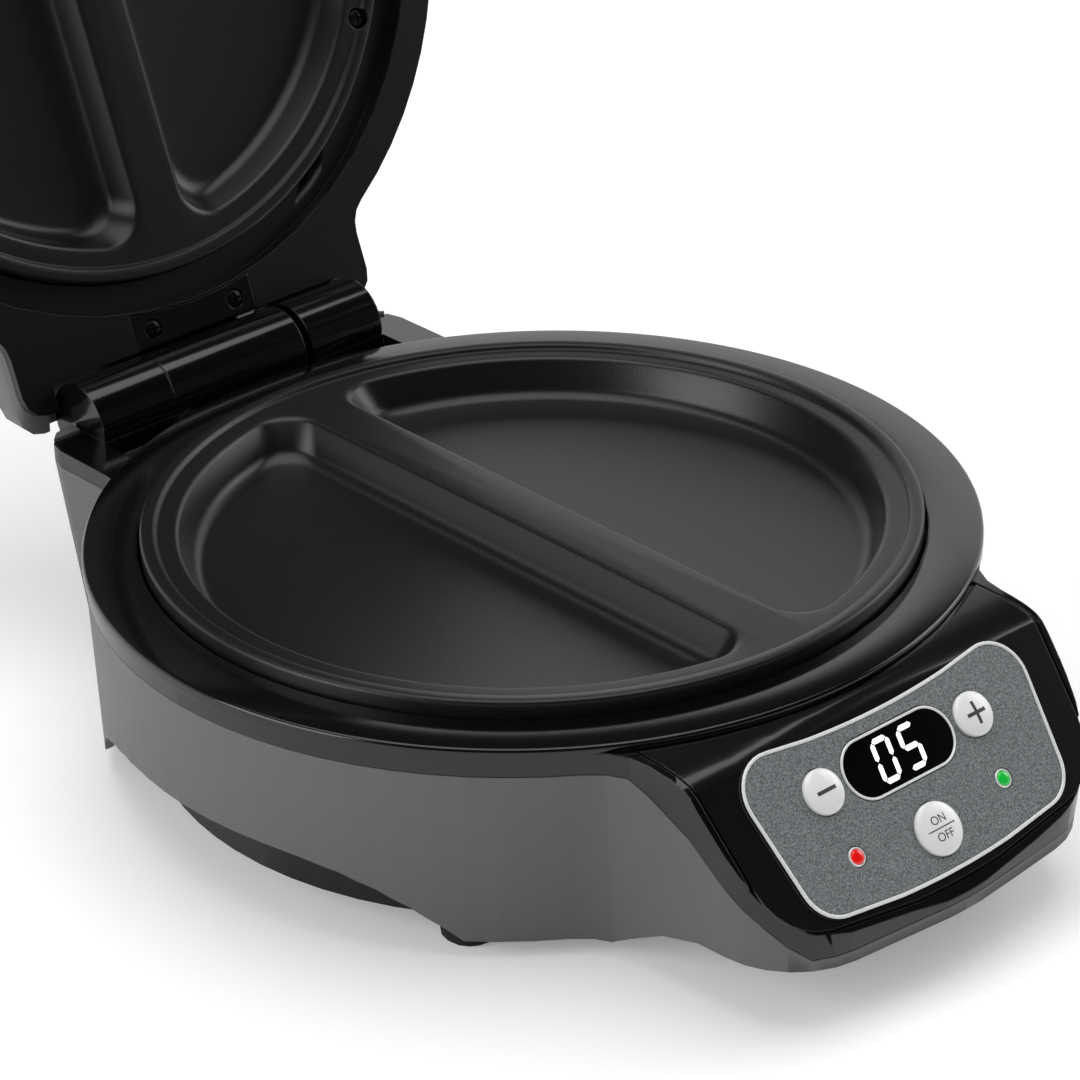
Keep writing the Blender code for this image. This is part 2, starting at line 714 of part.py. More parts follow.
def fascia_slab(grow, depth, direction, thickness, lead=0.0):
    edge = lower_edge(FASCIA_HALF_TOP + grow, FASCIA_HALF_LOW + grow, PLANE_START_S, FASCIA_BOTTOM + grow,
                      FASCIA_CORNER + grow)
    return slope_slab(FASCIA_HALF_TOP + grow, edge, lead, depth, direction, thickness)


def stadium(half, radius, grow=0.0):
    """Outline of the display: a bar with round ends."""
    reach = half - radius
    right = arc((reach, DISPLAY_S), radius + grow, -math.pi / 2, math.pi / 2, STADIUM_STEPS)
    return right + arc((-reach, DISPLAY_S), radius + grow, math.pi / 2, 3 * math.pi / 2, STADIUM_STEPS)


def panel_tool(bm):
    """A tool drawn in the panel's frame, moved to the base's frame."""
    bm.transform(PANEL_MATRIX)
    return bm


def button_holes(grow, low, high):
    """Rods through the three buttons' places."""
    places = ((-BUTTON_X, BUTTON_S, BUTTON_RADIUS), (BUTTON_X, BUTTON_S, BUTTON_RADIUS),
              (0, START_S, START_RADIUS))
    return [moved(rod(radius + grow, low, high, BUTTON_STEPS), x, s) for x, s, radius in places]


def lamp_holes(radius, low, high):
    return [moved(rod(radius, low, high, LAMP_STEPS), x, LAMP_S) for x in (-LAMP_X, LAMP_X)]


def display_hole(low, high):
    reach = MODULE_REACH + GAP
    return box(-MODULE_HALF - GAP, MODULE_HALF + GAP, DISPLAY_S - reach, DISPLAY_S + reach, low, high)


def screw_places(radius=PLATE_SCREW_RADIUS):
    """Places of the four plate screws."""
    return [(radius * math.cos(a), radius * math.sin(a)) for a in PLATE_SCREW_ANGLES]


def post_places():
    return [(POST_PLACE_RADIUS * math.cos(a), POST_PLACE_RADIUS * math.sin(a)) for a in POST_ANGLES]


def screw(length, shaft=SCREW_SHAFT, head=SCREW_HEAD, height=SCREW_HEAD_HEIGHT):
    """Cross-head screw with its head on top of z = 0 and its shaft going down."""
    body = turned([(0, -length), (shaft, -length), (shaft, 0), (head, 0),
                   (head * SCREW_TOP_SHARE, height), (0, height)], TINY_STEPS)
    arm = head * SCREW_CROSS_SHARE
    deep = height - SCREW_SLOT_DEPTH
    half = SCREW_SLOT / 2
    cross = joined(box(-arm, arm, -half, half, deep, height + OVERRUN),
                   box(-half, half, -arm, arm, deep, height + OVERRUN))
    return cut(body, cross)


def make_top_cover():
    """Gloss black deck, band, nose hood and hinge towers, moulded in one."""
    hollow = base_loft((ROOF + NOSE_DROP, BAND_DEPTH, WALL_LOW + OVERRUN), SHELL_WALL)
    body = cut(BASE_BODY.copy(), cut(hollow, slope_cutter(FASCIA_BACKING)))
    body = within(body, upper_region())
    body = cut(body, fascia_slab(FASCIA_GROOVE, FASCIA_SEAT, -INWARD, FASCIA_SEAT + OVERRUN,
                                 CUTTER_LEAD))
    body = joined(body, box(-TOWER_HALF, TOWER_HALF, TOWER_FRONT, PART_REAR_Y, -TOWER_BASE_DROP,
                            -TAB_DROP - STEP_IN))
    body = cut(body, rod(RING_OUTER - STEP_IN, -WALL_LOW, OVERRUN, ROUND_STEPS))
    slot_back = AXIS_Y - BARREL_RADIUS
    slot = box(-BARREL_HALF - GAP, BARREL_HALF + GAP, TOWER_FRONT - OVERRUN, slot_back,
               -TOWER_FLOOR_DROP, OVERRUN)
    round_deck = rod(DECK_RADIUS - STEP_IN, -WALL_LOW, OVERRUN * 2, ROUND_STEPS)
    pocket_half = KNUCKLE_INNER - STEP_IN
    pocket = box(-pocket_half, pocket_half, TOWER_FRONT - OVERRUN, PART_REAR_Y + OVERRUN,
                 -POCKET_FLOOR_DROP, OVERRUN)
    body = cut(body, cut(slot, round_deck.copy()), cut(pocket, round_deck))
    knuckles = [rod_x(BARREL_RADIUS, left, right, BARREL_STEPS)
                for left, right in ((-BARREL_HALF, -KNUCKLE_INNER), (KNUCKLE_INNER, BARREL_HALF))]
    posts = [moved(rod(POST_RADIUS, -POST_END_DROP, -LEDGE_LOW + STEP_IN, TINY_STEPS), x, y)
             for x, y in post_places()]
    board_posts = [panel_tool(moved(rod(BOARD_POST_RADIUS, FASCIA_BACKING - STEP_IN * 2,
                                        BOARD_DEPTH - GAP, TINY_STEPS), x, BOARD_POST_S))
                   for x in (-BOARD_POST_X, BOARD_POST_X)]
    deck_low = NOSE_DROP + STEP_IN * 4
    ring = turned([(LEDGE_INNER, -LEDGE_LOW), (RING_OUTER, -LEDGE_LOW), (RING_OUTER, -deck_low),
                   (DECK_RADIUS, -deck_low), (DECK_RADIUS, -DECK_EDGE),
                   (DECK_RADIUS - DECK_EDGE, 0), (RING_INNER + DECK_EDGE, 0),
                   (RING_INNER, -DECK_EDGE), (RING_INNER, -LEDGE_DROP), (LEDGE_INNER, -LEDGE_DROP)])
    body = joined(body, ring, *knuckles, *posts, *board_posts)
    through = FASCIA_BACKING + OVERRUN / 2
    panel_holes = button_holes(GAP, 0, through) + lamp_holes(LAMP_RADIUS + GAP, 0, through)
    panel_holes.append(display_hole(0, through))
    bore = rod_x(PIN_RADIUS + GAP, PIN_LEFT - GAP, PIN_REACH, TINY_STEPS)
    post_bores = [moved(rod(SCREW_SHAFT + GAP, -POST_END_DROP - OVERRUN, -POST_BORE_TOP, TINY_STEPS), x, y)
                  for x, y in post_places()]
    plate_bores = [moved(rod(SCREW_SHAFT + GAP, -LEDGE_LOW - OVERRUN, -LEDGE_DROP + OVERRUN, TINY_STEPS),
                         x, y) for x, y in screw_places()]
    board_bores = [panel_tool(moved(rod(BOARD_SCREW_RADIUS + GAP, BOARD_SCREW_TIP - GAP * 2,
                                        BOARD_DEPTH + OVERRUN, TINY_STEPS), x, BOARD_POST_S))
                   for x in (-BOARD_POST_X, BOARD_POST_X)]
    return cut(body, bore, *[panel_tool(hole) for hole in panel_holes], *post_bores, *plate_bores,
               *board_bores)


def make_lower_housing():
    """Grey side wall with draft, arches, the nose's underside and a seat for the bottom cover."""
    drops = (ROOF + NOSE_DROP, BAND_DEPTH, WALL_LOW + OVERRUN)
    low_drops = ((SEAT_LOW + SEAT_HIGH) / 2, WALL_LOW + OVERRUN * 2)
    inner_drops = (0, BAND_DEPTH, WALL_LOW + OVERRUN * 3)
    round_wall = cut(base_loft(low_drops, -STEP_IN, False),
                     base_loft(inner_drops, SHELL_WALL + STEP_IN, False))
    under = cut(nose_under(SHELL_WALL), base_loft(inner_drops, SHELL_WALL / 2, False))
    body = cut(BASE_BODY.copy(), cut(base_loft(drops, SHELL_WALL), under, round_wall))
    body = cut(body, upper_region(GAP))
    seat = cut(base_loft((SEAT_HIGH, SEAT_LOW), SHELL_WALL / 2, False),
               rod(SEAT_INNER, -WALL_LOW, OVERRUN, ROUND_STEPS))
    body = joined(body, seat)
    profile = [(ARCH_Y + ARCH_HALF, -WALL_LOW - OVERRUN), (ARCH_Y - ARCH_HALF, -WALL_LOW - OVERRUN)]
    shares = [math.sin(t) for t in spaced(-math.pi / 2, math.pi / 2, ARCH_STEPS)]
    profile += [(ARCH_Y + ARCH_HALF * t,
                 -WALL_LOW - STEP_IN + (ARCH_RISE + STEP_IN) * (1 - abs(t) ** ARCH_POWER))
                for t in shares]
    arch = prism_x(profile, -DECK_RADIUS - OVERRUN, DECK_RADIUS + OVERRUN)
    clearance = rod_x(BARREL_RADIUS + GAP * 2, -BARREL_HALF - GAP * 3, BARREL_HALF + GAP * 3, BARREL_STEPS)
    gland_hole = rod(GLAND_NECK + GAP, -OVERRUN, OVERRUN)
    gland_hole.transform(GLAND_MATRIX)
    return cut(body, arch, clearance, gland_hole)


def make_bottom_cover():
    """Dark pan inside the wall: a flange under the housing's seat and a flat floor for the feet."""
    pan = base_loft((PAN_TOP_DROP + STEP_IN, PAN_FLOOR_DROP), PAN_INSET, False, 0.0)
    flange = base_loft((PAN_TOP_DROP, PAN_TOP_DROP + PAN_WALL), PAN_FLANGE_INSET, False)
    room = base_loft((PAN_TOP_DROP - OVERRUN, PAN_FLOOR_DROP - PAN_WALL), PAN_INSET + PAN_WALL, False, 0.0)
    bores = [moved(rod(SCREW_SHAFT + GAP, -PAN_FLOOR_DROP - OVERRUN, -PAN_FLOOR_DROP + OVERRUN, TINY_STEPS),
                   x, y) for x, y in post_places()]
    return cut(joined(pan, flange), room, *bores)


def half_moon(radius, divider, corner):
    """Outline of a well: a half disc beside the divider, with round corners."""
    centre_x = divider + corner
    centre_y = math.sqrt((radius - corner) ** 2 - centre_x ** 2)
    angle = math.atan2(centre_y, centre_x)
    low = arc((centre_x, -centre_y), corner, math.pi, math.tau - angle, CORNER_STEPS + 1)
    side = arc((0, 0), radius, -angle, angle, WELL_STEPS)
    high = arc((centre_x, centre_y), corner, angle, math.pi, CORNER_STEPS + 1)
    return low + side[1:-1] + high


def well(grow, top, floor, side):
    """Tapered half-moon body between two heights, grown outwards by a wall."""
    rings = []
    for z, extra in ((top, 0.0), (floor + WELL_FOOT, 0.0), (floor, WELL_FOOT * WELL_FOOT_SHARE)):
        inward = (LAND_HEIGHT - z) * WELL_DRAFT + extra - grow
        outline = half_moon(WELL_RADIUS - inward, WELL_DIVIDER + inward, WELL_CORNER)
        rings.append([(side * x, y, z) for x, y in outline])
    return loft(rings)


def make_plate(screws_through):
    """Cast plate with a raised rim, a skirt, two half-moon wells and four screw bosses."""
    under = LAND_HEIGHT - PLATE_WALL
    skirt_inner = PLATE_RADIUS - SKIRT_WALL
    body = turned([(0, under), (skirt_inner, under), (skirt_inner, -SKIRT_DROP),
                   (PLATE_RADIUS, -SKIRT_DROP), (PLATE_RADIUS, RIM_HEIGHT - DECK_EDGE),
                   (PLATE_RADIUS - DECK_EDGE, RIM_HEIGHT), (PLATE_RADIUS - RIM_WIDTH, RIM_HEIGHT),
                   (PLATE_RADIUS - RIM_WIDTH - DECK_EDGE, LAND_HEIGHT), (0, LAND_HEIGHT)])
    floor = LAND_HEIGHT - WELL_DEPTH
    for side in (-1, 1):
        body = joined(body, well(PLATE_WALL, under + PLATE_WALL / 2, floor - PLATE_WALL, side))
    bosses = [moved(rod(PLATE_BOSS_RADIUS, -SKIRT_DROP + STEP_IN, under + STEP_IN, TINY_STEPS), x, y)
              for x, y in screw_places()]
    body = joined(body, *bosses)
    for side in (-1, 1):
        body = cut(body, well(0.0, LAND_HEIGHT + OVERRUN / 5, floor, side))
    top = LAND_HEIGHT + OVERRUN if screws_through else under - GAP
    bores = [moved(rod(SCREW_SHAFT + GAP, -SKIRT_DROP - OVERRUN, top, TINY_STEPS), x, y)
             for x, y in screw_places()]
    if screws_through:
        bores += [moved(rod(SCREW_HEAD + GAP, LAND_HEIGHT - SCREW_HEAD_HEIGHT, LAND_HEIGHT + OVERRUN,
                            TINY_STEPS), x, y) for x, y in screw_places()]
    return cut(body, *bores)


def make_heat_shield():
    """Pressed steel pan between the plate's skirt and the ledge."""
    body = turned([(0, -SHIELD_FLOOR), (SHIELD_FLOOR_RADIUS, -SHIELD_FLOOR),
                   (SHIELD_TOP_RADIUS, -SKIRT_DROP - GAP - SHIELD_SHEET),
                   (SHIELD_RADIUS, -SKIRT_DROP - GAP - SHIELD_SHEET), (SHIELD_RADIUS, -SKIRT_DROP - GAP),
                   (SHIELD_TOP_RADIUS - SHIELD_SHEET, -SKIRT_DROP - GAP),
                   (SHIELD_FLOOR_RADIUS - SHIELD_SHEET, -SHIELD_FLOOR + SHIELD_SHEET),
                   (0, -SHIELD_FLOOR + SHIELD_SHEET)])
    bores = [moved(rod(SCREW_SHAFT + GAP, -SHIELD_FLOOR, OVERRUN, TINY_STEPS), x, y)
             for x, y in screw_places()]
    return cut(body, *bores)


def flipped(bm):
    """The same body as it lies in the closed lid, mirrored over the meeting plane of the rims."""
    bm.transform(Matrix.Translation((0, 0, 2 * MEETING)) @ Matrix.Scale(-1, 4, (0, 0, 1)))
    return clean(bm)


def heating_element(name, parent, mirror):
    """Bent tube that runs round under the wells."""
    curve = bpy.data.curves.new(name, 'CURVE')
    curve.dimensions = '3D'
    curve.bevel_depth = ELEMENT_RADIUS
    curve.bevel_resolution = ELEMENT_SIDES_RESOLUTION
    curve.use_fill_caps = True
    height = LAND_HEIGHT - WELL_DEPTH - PLATE_WALL - GAP - ELEMENT_RADIUS
    first = math.pi / 2 + ELEMENT_OPENING
    ring = arc((0, 0), ELEMENT_RING, first, first + math.tau - 2 * ELEMENT_OPENING, ELEMENT_STEPS)
    points = [(x, y, height) for x, y in ring]
    spline = curve.splines.new('POLY')
    spline.points.add(len(points) - 1)
    for slot, (x, y, z) in zip(spline.points, points):
        slot.co = (x, y, 2 * MEETING - z if mirror else z, 1)
    curve.materials.append(ELEMENT_STEEL)
    return placed(name, curve, parent)


def bowed(edge, x):
    """Point on a long edge of the panel, which bows like the deck's seam."""
    return (x, edge - x ** 2 / (2 * PANEL_BULGE))


def panel_outline(inset):
    """Outline of the overlay and its border: both long edges bow like the deck's seam."""
    top = PANEL_TOP + inset
    bottom = PANEL_BOTTOM - inset
    half_top = PANEL_HALF_TOP - inset
    half_low = PANEL_HALF_LOW - inset
    corner = PANEL_CORNER - inset
    upper = bowed(top, half_top)
    lower = bowed(bottom, half_low)
    upper_in = bowed(top, half_top - 2 * PANEL_CORNER)
    lower_in = bowed(bottom, half_low - 2 * PANEL_CORNER)
    right = [bowed(top, upper_in[0] * share) for share in FRONT_ARC_SHARES]
    right += rounded_corner(upper_in, upper, lower, corner, PANEL_CORNER_STEPS)
    right += rounded_corner(upper, lower, lower_in, corner, PANEL_CORNER_STEPS)
    right += [bowed(bottom, lower_in[0] * share) for share in reversed(FRONT_ARC_SHARES)]
    return [(0, top)] + right + [(0, bottom)] + [(-x, s) for x, s in reversed(right)]


def make_panel_pieces(frame):
    """Everything that lies on or behind the sloping panel, in the panel's frame."""
    fascia = fascia_slab(0.0, 0.0, INWARD, FASCIA_THICKNESS)
    holes = button_holes(GAP, -OVERRUN / 2, OVERRUN / 2)
    holes += lamp_holes(LAMP_RADIUS + GAP, -OVERRUN / 2, OVERRUN / 2)
    holes.append(display_hole(-OVERRUN / 2, OVERRUN / 2))
    piece('control_fascia', cut(fascia, *[panel_tool(hole) for hole in holes]), FASCIA_GLOSS, ROOT)

    back = -GAP
    border = cut(prism(panel_outline(0.0), back - BORDER_HEIGHT, back),
                 prism(panel_outline(BORDER_WIDTH), back - OVERRUN, back + OVERRUN))
    piece('panel_border', border, SILVER, frame)
    overlay = prism(panel_outline(BORDER_WIDTH + GAP), back - OVERLAY_SHEET, back)
    overlay = cut(overlay, prism(stadium(DISPLAY_HALF, DISPLAY_RADIUS, GAP), -OVERRUN, OVERRUN),
                  *button_holes(GAP, -OVERRUN, OVERRUN), *lamp_holes(LAMP_RING + GAP, -OVERRUN, OVERRUN))
    piece('panel_overlay', overlay, PANEL_GREY, frame)
    bezel = cut(prism(stadium(DISPLAY_HALF, DISPLAY_RADIUS), back - BEZEL_HEIGHT, back),
                prism(stadium(DISPLAY_HALF, DISPLAY_RADIUS, -BEZEL_WIDTH), -OVERRUN, OVERRUN))
    piece('display_bezel', bezel, SILVER, frame)
    piece('display_window', prism(stadium(DISPLAY_HALF, DISPLAY_RADIUS, -BEZEL_WIDTH - GAP),
                                  back - WINDOW_SHEET, back), WINDOW_BLACK, frame)
    piece('display_module', box(-MODULE_HALF, MODULE_HALF, DISPLAY_S - MODULE_REACH,
                                DISPLAY_S + MODULE_REACH, 0, BOARD_DEPTH - GAP), MODULE_WHITE, frame)
    board = box(-BOARD_HALF, BOARD_HALF, BOARD_TOP, BOARD_BOTTOM, BOARD_DEPTH, BOARD_DEPTH + BOARD_SHEET)
    board_holes = [moved(rod(BOARD_SCREW_RADIUS + GAP, 0, BOARD_DEPTH + OVERRUN, TINY_STEPS),
                         x, BOARD_POST_S) for x in (-BOARD_POST_X, BOARD_POST_X)]
    piece('control_board', cut(board, *board_holes), BOARD_GREEN, frame)
    seat = BOARD_DEPTH + BOARD_SHEET + GAP
    copies('board_screw', screw(seat - BOARD_SCREW_TIP, BOARD_SCREW_RADIUS, BOARD_SCREW_HEAD,
                                BOARD_SCREW_HEIGHT), SCREW_STEEL, frame,
           [(side, (x, BOARD_POST_S, seat)) for side, x in zip(SIDE_NAMES, (-BOARD_POST_X, BOARD_POST_X))])

    places = (('button_minus', -BUTTON_X, BUTTON_S, BUTTON_RADIUS),
              ('button_plus', BUTTON_X, BUTTON_S, BUTTON_RADIUS),
              ('button_start', 0, START_S, START_RADIUS))
    for name, x, s, radius in places:
        cap_profile = [(0, -CAP_TOP)]
        cap_profile += [(radius * share, -CAP_TOP + CAP_DOME * drop) for share, drop in CAP_DOME_SHARES]
        cap_profile += [(radius, CAP_FLANGE), (radius + CAP_LIP, CAP_FLANGE),
                        (radius + CAP_LIP, CAP_FLANGE + CAP_LIP_SHEET),
                        (CAP_STEM, CAP_FLANGE + CAP_LIP_SHEET),
                        (CAP_STEM, CAP_STEM_END), (0, CAP_STEM_END)]
        piece(name, turned(cap_profile, BUTTON_STEPS), SILVER, frame, (x, s, 0))
    top = BOARD_DEPTH - GAP - SWITCH_HEIGHT
    switch = joined(box(-SWITCH_HALF, SWITCH_HALF, -SWITCH_HALF, SWITCH_HALF, top, BOARD_DEPTH - GAP),
                    rod(CAP_STEM, CAP_STEM_END + BUTTON_TRAVEL + GAP, top + STEP_IN, TINY_STEPS))
    copies('tact_switch', switch, BLACK_SATIN, frame,
           [(name.replace('button', ''), (x, s, 0)) for name, x, s, radius in places])

    for name, x, surface in (('lamp_red', -LAMP_X, LAMP_RED), ('lamp_green', LAMP_X, LAMP_GREEN)):
        lens = turned([(0, -LAMP_TOP), (LAMP_RADIUS * LAMP_CROWN_SHARE, -LAMP_TOP + DECK_EDGE / 2),
                       (LAMP_RADIUS, -LAMP_TOP + DECK_EDGE), (LAMP_RADIUS, LAMP_SHOULDER),
                       (LAMP_PIPE, LAMP_SHOULDER), (LAMP_PIPE, BOARD_DEPTH - GAP), (0, BOARD_DEPTH - GAP)],
                      LAMP_STEPS)
        piece(name, lens, surface, frame, (x, LAMP_S, 0))
    ring = turned([(LAMP_RADIUS + GAP, back), (LAMP_RING, back), (LAMP_RING, back - LAMP_RING_HEIGHT),
                   (LAMP_RADIUS + GAP, back - LAMP_RING_HEIGHT)], LAMP_STEPS)
    copies('lamp_bezel', ring, SILVER, frame,
           [(side, (x, LAMP_S, 0)) for side, x in zip(SIDE_NAMES, (-LAMP_X, LAMP_X))])


def lid_outline(radius, half, end, corner):
    """Outline of the lid: a circle with the hinge tab behind."""
    rear = tab_chain(radius, half, end, corner, LID_TAB_FILLET)
    front = [(x, -y) for x, y in reversed(arc((0, 0), radius, 0, math.pi / 2, CIRCLE_FRONT_STEPS))]
    return mirrored_outline(radius, front[1:-1] + rear)


def lid_ring(inset, height, radius, half, end):
    outline = lid_outline(radius - inset, half - inset, end - inset, LID_TAB_CORNER - inset / 2)
    return [(x, y, height) for x, y in outline]


def lid_dome(inset=0.0, foot=FLANGE):
    """Outer form of the lid above its frame, moved inwards by the inset."""
    start = LID_FACE + FLANGE
    first = (LID_RADIUS, LID_TAB_HALF, LID_TAB_END)
    wide = (LID_RADIUS + LID_SIDE_BULGE, LID_TAB_HALF + LID_SIDE_BULGE, LID_TAB_END + LID_REAR_BULGE)
    rings = [lid_ring(inset, LID_FACE + foot, *first)]
    if foot < FLANGE:
        rings.append(lid_ring(inset, start, *first))
    rings.append(lid_ring(inset, start + LID_FLARE, *wide))
    for height_share, radius_share, half_share, end_share, sink_share in DOME_SHARES:
        rings.append(lid_ring(inset, start + LID_DOME_HEIGHT * height_share - inset * sink_share,
                              wide[0] * radius_share, wide[1] * half_share, wide[2] * end_share))
    return loft(rings)


def make_lid_shell():
    """Grey domed shell, open below, with a recess over the hinge barrel."""
    room = lid_dome(LID_WALL, 0.0)
    recess = rod_x(TROUGH_RADIUS + BRACKET_WALL + GAP * 2, -TROUGH_HALF - TROUGH_WALL - GAP,
                   TROUGH_HALF + TROUGH_WALL + GAP, BARREL_STEPS)
    bores = []
    for x in (-HANDLE_SCREW_X, HANDLE_SCREW_X):
        bore = rod(SCREW_SHAFT + GAP, -LID_RADIUS - OVERRUN, -LID_RADIUS + OVERRUN, TINY_STEPS)
        bore.transform(Matrix.Translation((x, 0, HANDLE_SCREW_Z)) @ Matrix.Rotation(-math.pi / 2, 4, 'X'))
        bores.append(bore)
    return cut(lid_dome(0.0, FLANGE + GAP), room, recess, *bores)


def bracket_body(grow, face=LID_FACE):
    """Space of the bracket in the lid: a plate behind the face and a strap round the barrel."""
    half = BRACKET_HALF + grow
    plate = box(-half, half, TOWER_FRONT - OVERRUN, AXIS_Y, face, BRACKET_TOP + grow)
    plate = cut(plate, rod(FRAME_HOLE + BRACKET_LIP + GAP - grow, -OVERRUN, LID_RADIUS, ROUND_STEPS))
    strap = rod_x(TROUGH_RADIUS + BRACKET_WALL + grow, -half, half, BARREL_STEPS)
    strap = within(strap, box(-LID_RADIUS, LID_RADIUS, AXIS_Y - TROUGH_RADIUS, STRAP_END + grow,
                              LID_FACE + STEP_IN, LID_RADIUS))
    return joined(plate, strap)


def make_lid_frame():
    """Black inner frame: flat face, channel round the plate, ledge and hinge trough."""
    flange = prism(lid_outline(LID_RADIUS, LID_TAB_HALF, LID_TAB_END, LID_TAB_CORNER), LID_FACE,
                   LID_FACE + FLANGE)
    flange = cut(flange, rod(FRAME_HOLE, 0, LID_RADIUS, ROUND_STEPS))
    channel = LID_FACE + CHANNEL_DEPTH
    high = 2 * MEETING + LEDGE_LOW
    wall = FRAME_HOLE + STEP_IN
    ring = turned([(LEDGE_INNER, 2 * MEETING + LEDGE_DROP), (RING_INNER, 2 * MEETING + LEDGE_DROP),
                   (RING_INNER, channel), (wall, channel), (wall, LID_FACE + FLANGE / 2),
                   (wall + FRAME_WALL, LID_FACE + FLANGE / 2), (wall + FRAME_WALL, channel + FRAME_WALL),
                   (RING_OUTER, channel + FRAME_WALL), (RING_OUTER, high), (LEDGE_INNER, high)])
    reach = TROUGH_HALF + TROUGH_WALL
    trough = within(rod_x(TROUGH_RADIUS + TROUGH_WALL, -reach, reach, BARREL_STEPS),
                    lid_dome(TROUGH_END_INSET, FLANGE / 2))
    backing = box(-BRACKET_HALF - BRACKET_WALL, BRACKET_HALF + BRACKET_WALL, FRAME_HOLE + STEP_IN * 2,
                  AXIS_Y - TROUGH_RADIUS / 2, LID_FACE + FLANGE / 2 + STEP_IN,
                  BRACKET_TOP + GAP + BRACKET_WALL)
    bosses = [moved(rod(PLATE_BOSS_RADIUS, BRACKET_TOP + GAP * 2, BRACKET_BOSS_TOP, TINY_STEPS),
                    x, BRACKET_SCREW_Y) for x in (-BRACKET_SCREW_X, BRACKET_SCREW_X)]
    body = joined(flange, ring, trough, backing, *bosses)
    body = cut(body, rod_x(TROUGH_RADIUS, -TROUGH_HALF, TROUGH_HALF, BARREL_STEPS),
               bracket_body(GAP, LID_FACE - OVERRUN / 2))
    bores = [moved(rod(SCREW_SHAFT + GAP, LID_FACE, LID_RADIUS, TINY_STEPS), x, y)
             for x, y in screw_places()]
    bores += [moved(rod(SCREW_SHAFT + GAP, LID_FACE, BRACKET_SCREW_END + GAP * 2, TINY_STEPS),
                    x, BRACKET_SCREW_Y) for x in (-BRACKET_SCREW_X, BRACKET_SCREW_X)]
    return cut(body, *bores)


def make_bracket():
    """Black bracket that ties the lid to the middle knuckle."""
    body = cut(bracket_body(0.0), rod_x(TROUGH_RADIUS, -TROUGH_HALF, TROUGH_HALF, BARREL_STEPS))
    web = box(-BRACKET_HALF + STEP_IN, BRACKET_HALF - STEP_IN, AXIS_Y - WEB_HALF, STRAP_END - STEP_IN,
              -AXIS_DROP + PIN_RADIUS * 2, -AXIS_DROP + TROUGH_RADIUS + BRACKET_WALL / 2)
    knuckle = rod_x(BARREL_RADIUS, -LID_KNUCKLE_LEFT, LID_KNUCKLE_RIGHT, BARREL_STEPS)
    body = joined(body, web, knuckle)
    bores = [rod_x(PIN_RADIUS + GAP, -PIN_REACH, PIN_REACH, TINY_STEPS)]
    for x in (-BRACKET_SCREW_X, BRACKET_SCREW_X):
        bores.append(moved(rod(SCREW_SHAFT + GAP, 0, LID_RADIUS, TINY_STEPS), x, BRACKET_SCREW_Y))
        bores.append(moved(rod(SCREW_HEAD + GAP, 0, LID_FACE + SCREW_HEAD_HEIGHT, TINY_STEPS),
                           x, BRACKET_SCREW_Y))
    return cut(body, *bores)


def make_handle():
    """Black grip on the front of the lid."""
    root = -LID_RADIUS + OVERRUN
    outline = rounded_outline([((-HANDLE_ROOT_HALF, root), HANDLE_CORNER / 2),
                               ((-HANDLE_TIP_HALF, -LID_RADIUS - HANDLE_REACH), HANDLE_CORNER),
                               ((HANDLE_TIP_HALF, -LID_RADIUS - HANDLE_REACH), HANDLE_CORNER),
                               ((HANDLE_ROOT_HALF, root), HANDLE_CORNER / 2)], CORNER_STEPS)
    rings = []
    for z, share in ((HANDLE_LOW, HANDLE_ROLL_SHARE), (HANDLE_LOW + HANDLE_ROLL, 1.0),
                     (HANDLE_HIGH - HANDLE_ROLL, 1.0), (HANDLE_HIGH, HANDLE_ROLL_SHARE)):
        rings.append([(x * share, blend(root, y, share), z) for x, y in outline])
    grip = cut(loft(rings), lid_dome(-GAP))
    bores = []
    for x in (-HANDLE_SCREW_X, HANDLE_SCREW_X):
        bore = rod(SCREW_SHAFT + GAP, -HANDLE_SCREW_SEAT - HANDLE_SCREW_LENGTH - GAP, 0, TINY_STEPS)
        bore.transform(Matrix.Translation((x, 0, HANDLE_SCREW_Z)) @ Matrix.Rotation(-math.pi / 2, 4, 'X'))
        bores.append(bore)
    return cut(grip, *bores)


def make_foot():
    """Round rubber foot."""
    top = -PAN_FLOOR_DROP - GAP
    low = -DECK_HEIGHT
    return turned([(0, low), (FOOT_RADIUS - FOOT_ROLL, low), (FOOT_RADIUS, low + FOOT_ROLL),
                   (FOOT_RADIUS, top), (0, top)], SMALL_STEPS)


def make_gland():
    """Bush for the mains lead in the rear wall, with its flange outside and a lip inside."""
    lip = -SHELL_WALL - GAP
    return turned([(GLAND_BORE, GAP + GLAND_FLANGE_SHEET), (GLAND_FLANGE, GAP + GLAND_FLANGE_SHEET),
                   (GLAND_FLANGE, GAP), (GLAND_NECK, GAP), (GLAND_NECK, lip - GLAND_FLANGE_SHEET),
                   (GLAND_BORE, lip - GLAND_FLANGE_SHEET)], SMALL_STEPS)


def make_thermostat():
    """Round thermostat with its two tabs, clipped under the heat shield."""
    top = -SHIELD_FLOOR - GAP
    can = rod(THERMOSTAT_RADIUS, top - THERMOSTAT_HEIGHT, top, SMALL_STEPS)
    tabs = [box(x - SCREW_SLOT / 2, x + SCREW_SLOT / 2, -PIN_RADIUS, PIN_RADIUS,
                top - THERMOSTAT_HEIGHT - PIN_RADIUS * 2, top - THERMOSTAT_HEIGHT + STEP_IN)
            for x in (-THERMOSTAT_RADIUS / 2, THERMOSTAT_RADIUS / 2)]
    return moved(joined(can, *tabs), THERMOSTAT_X)


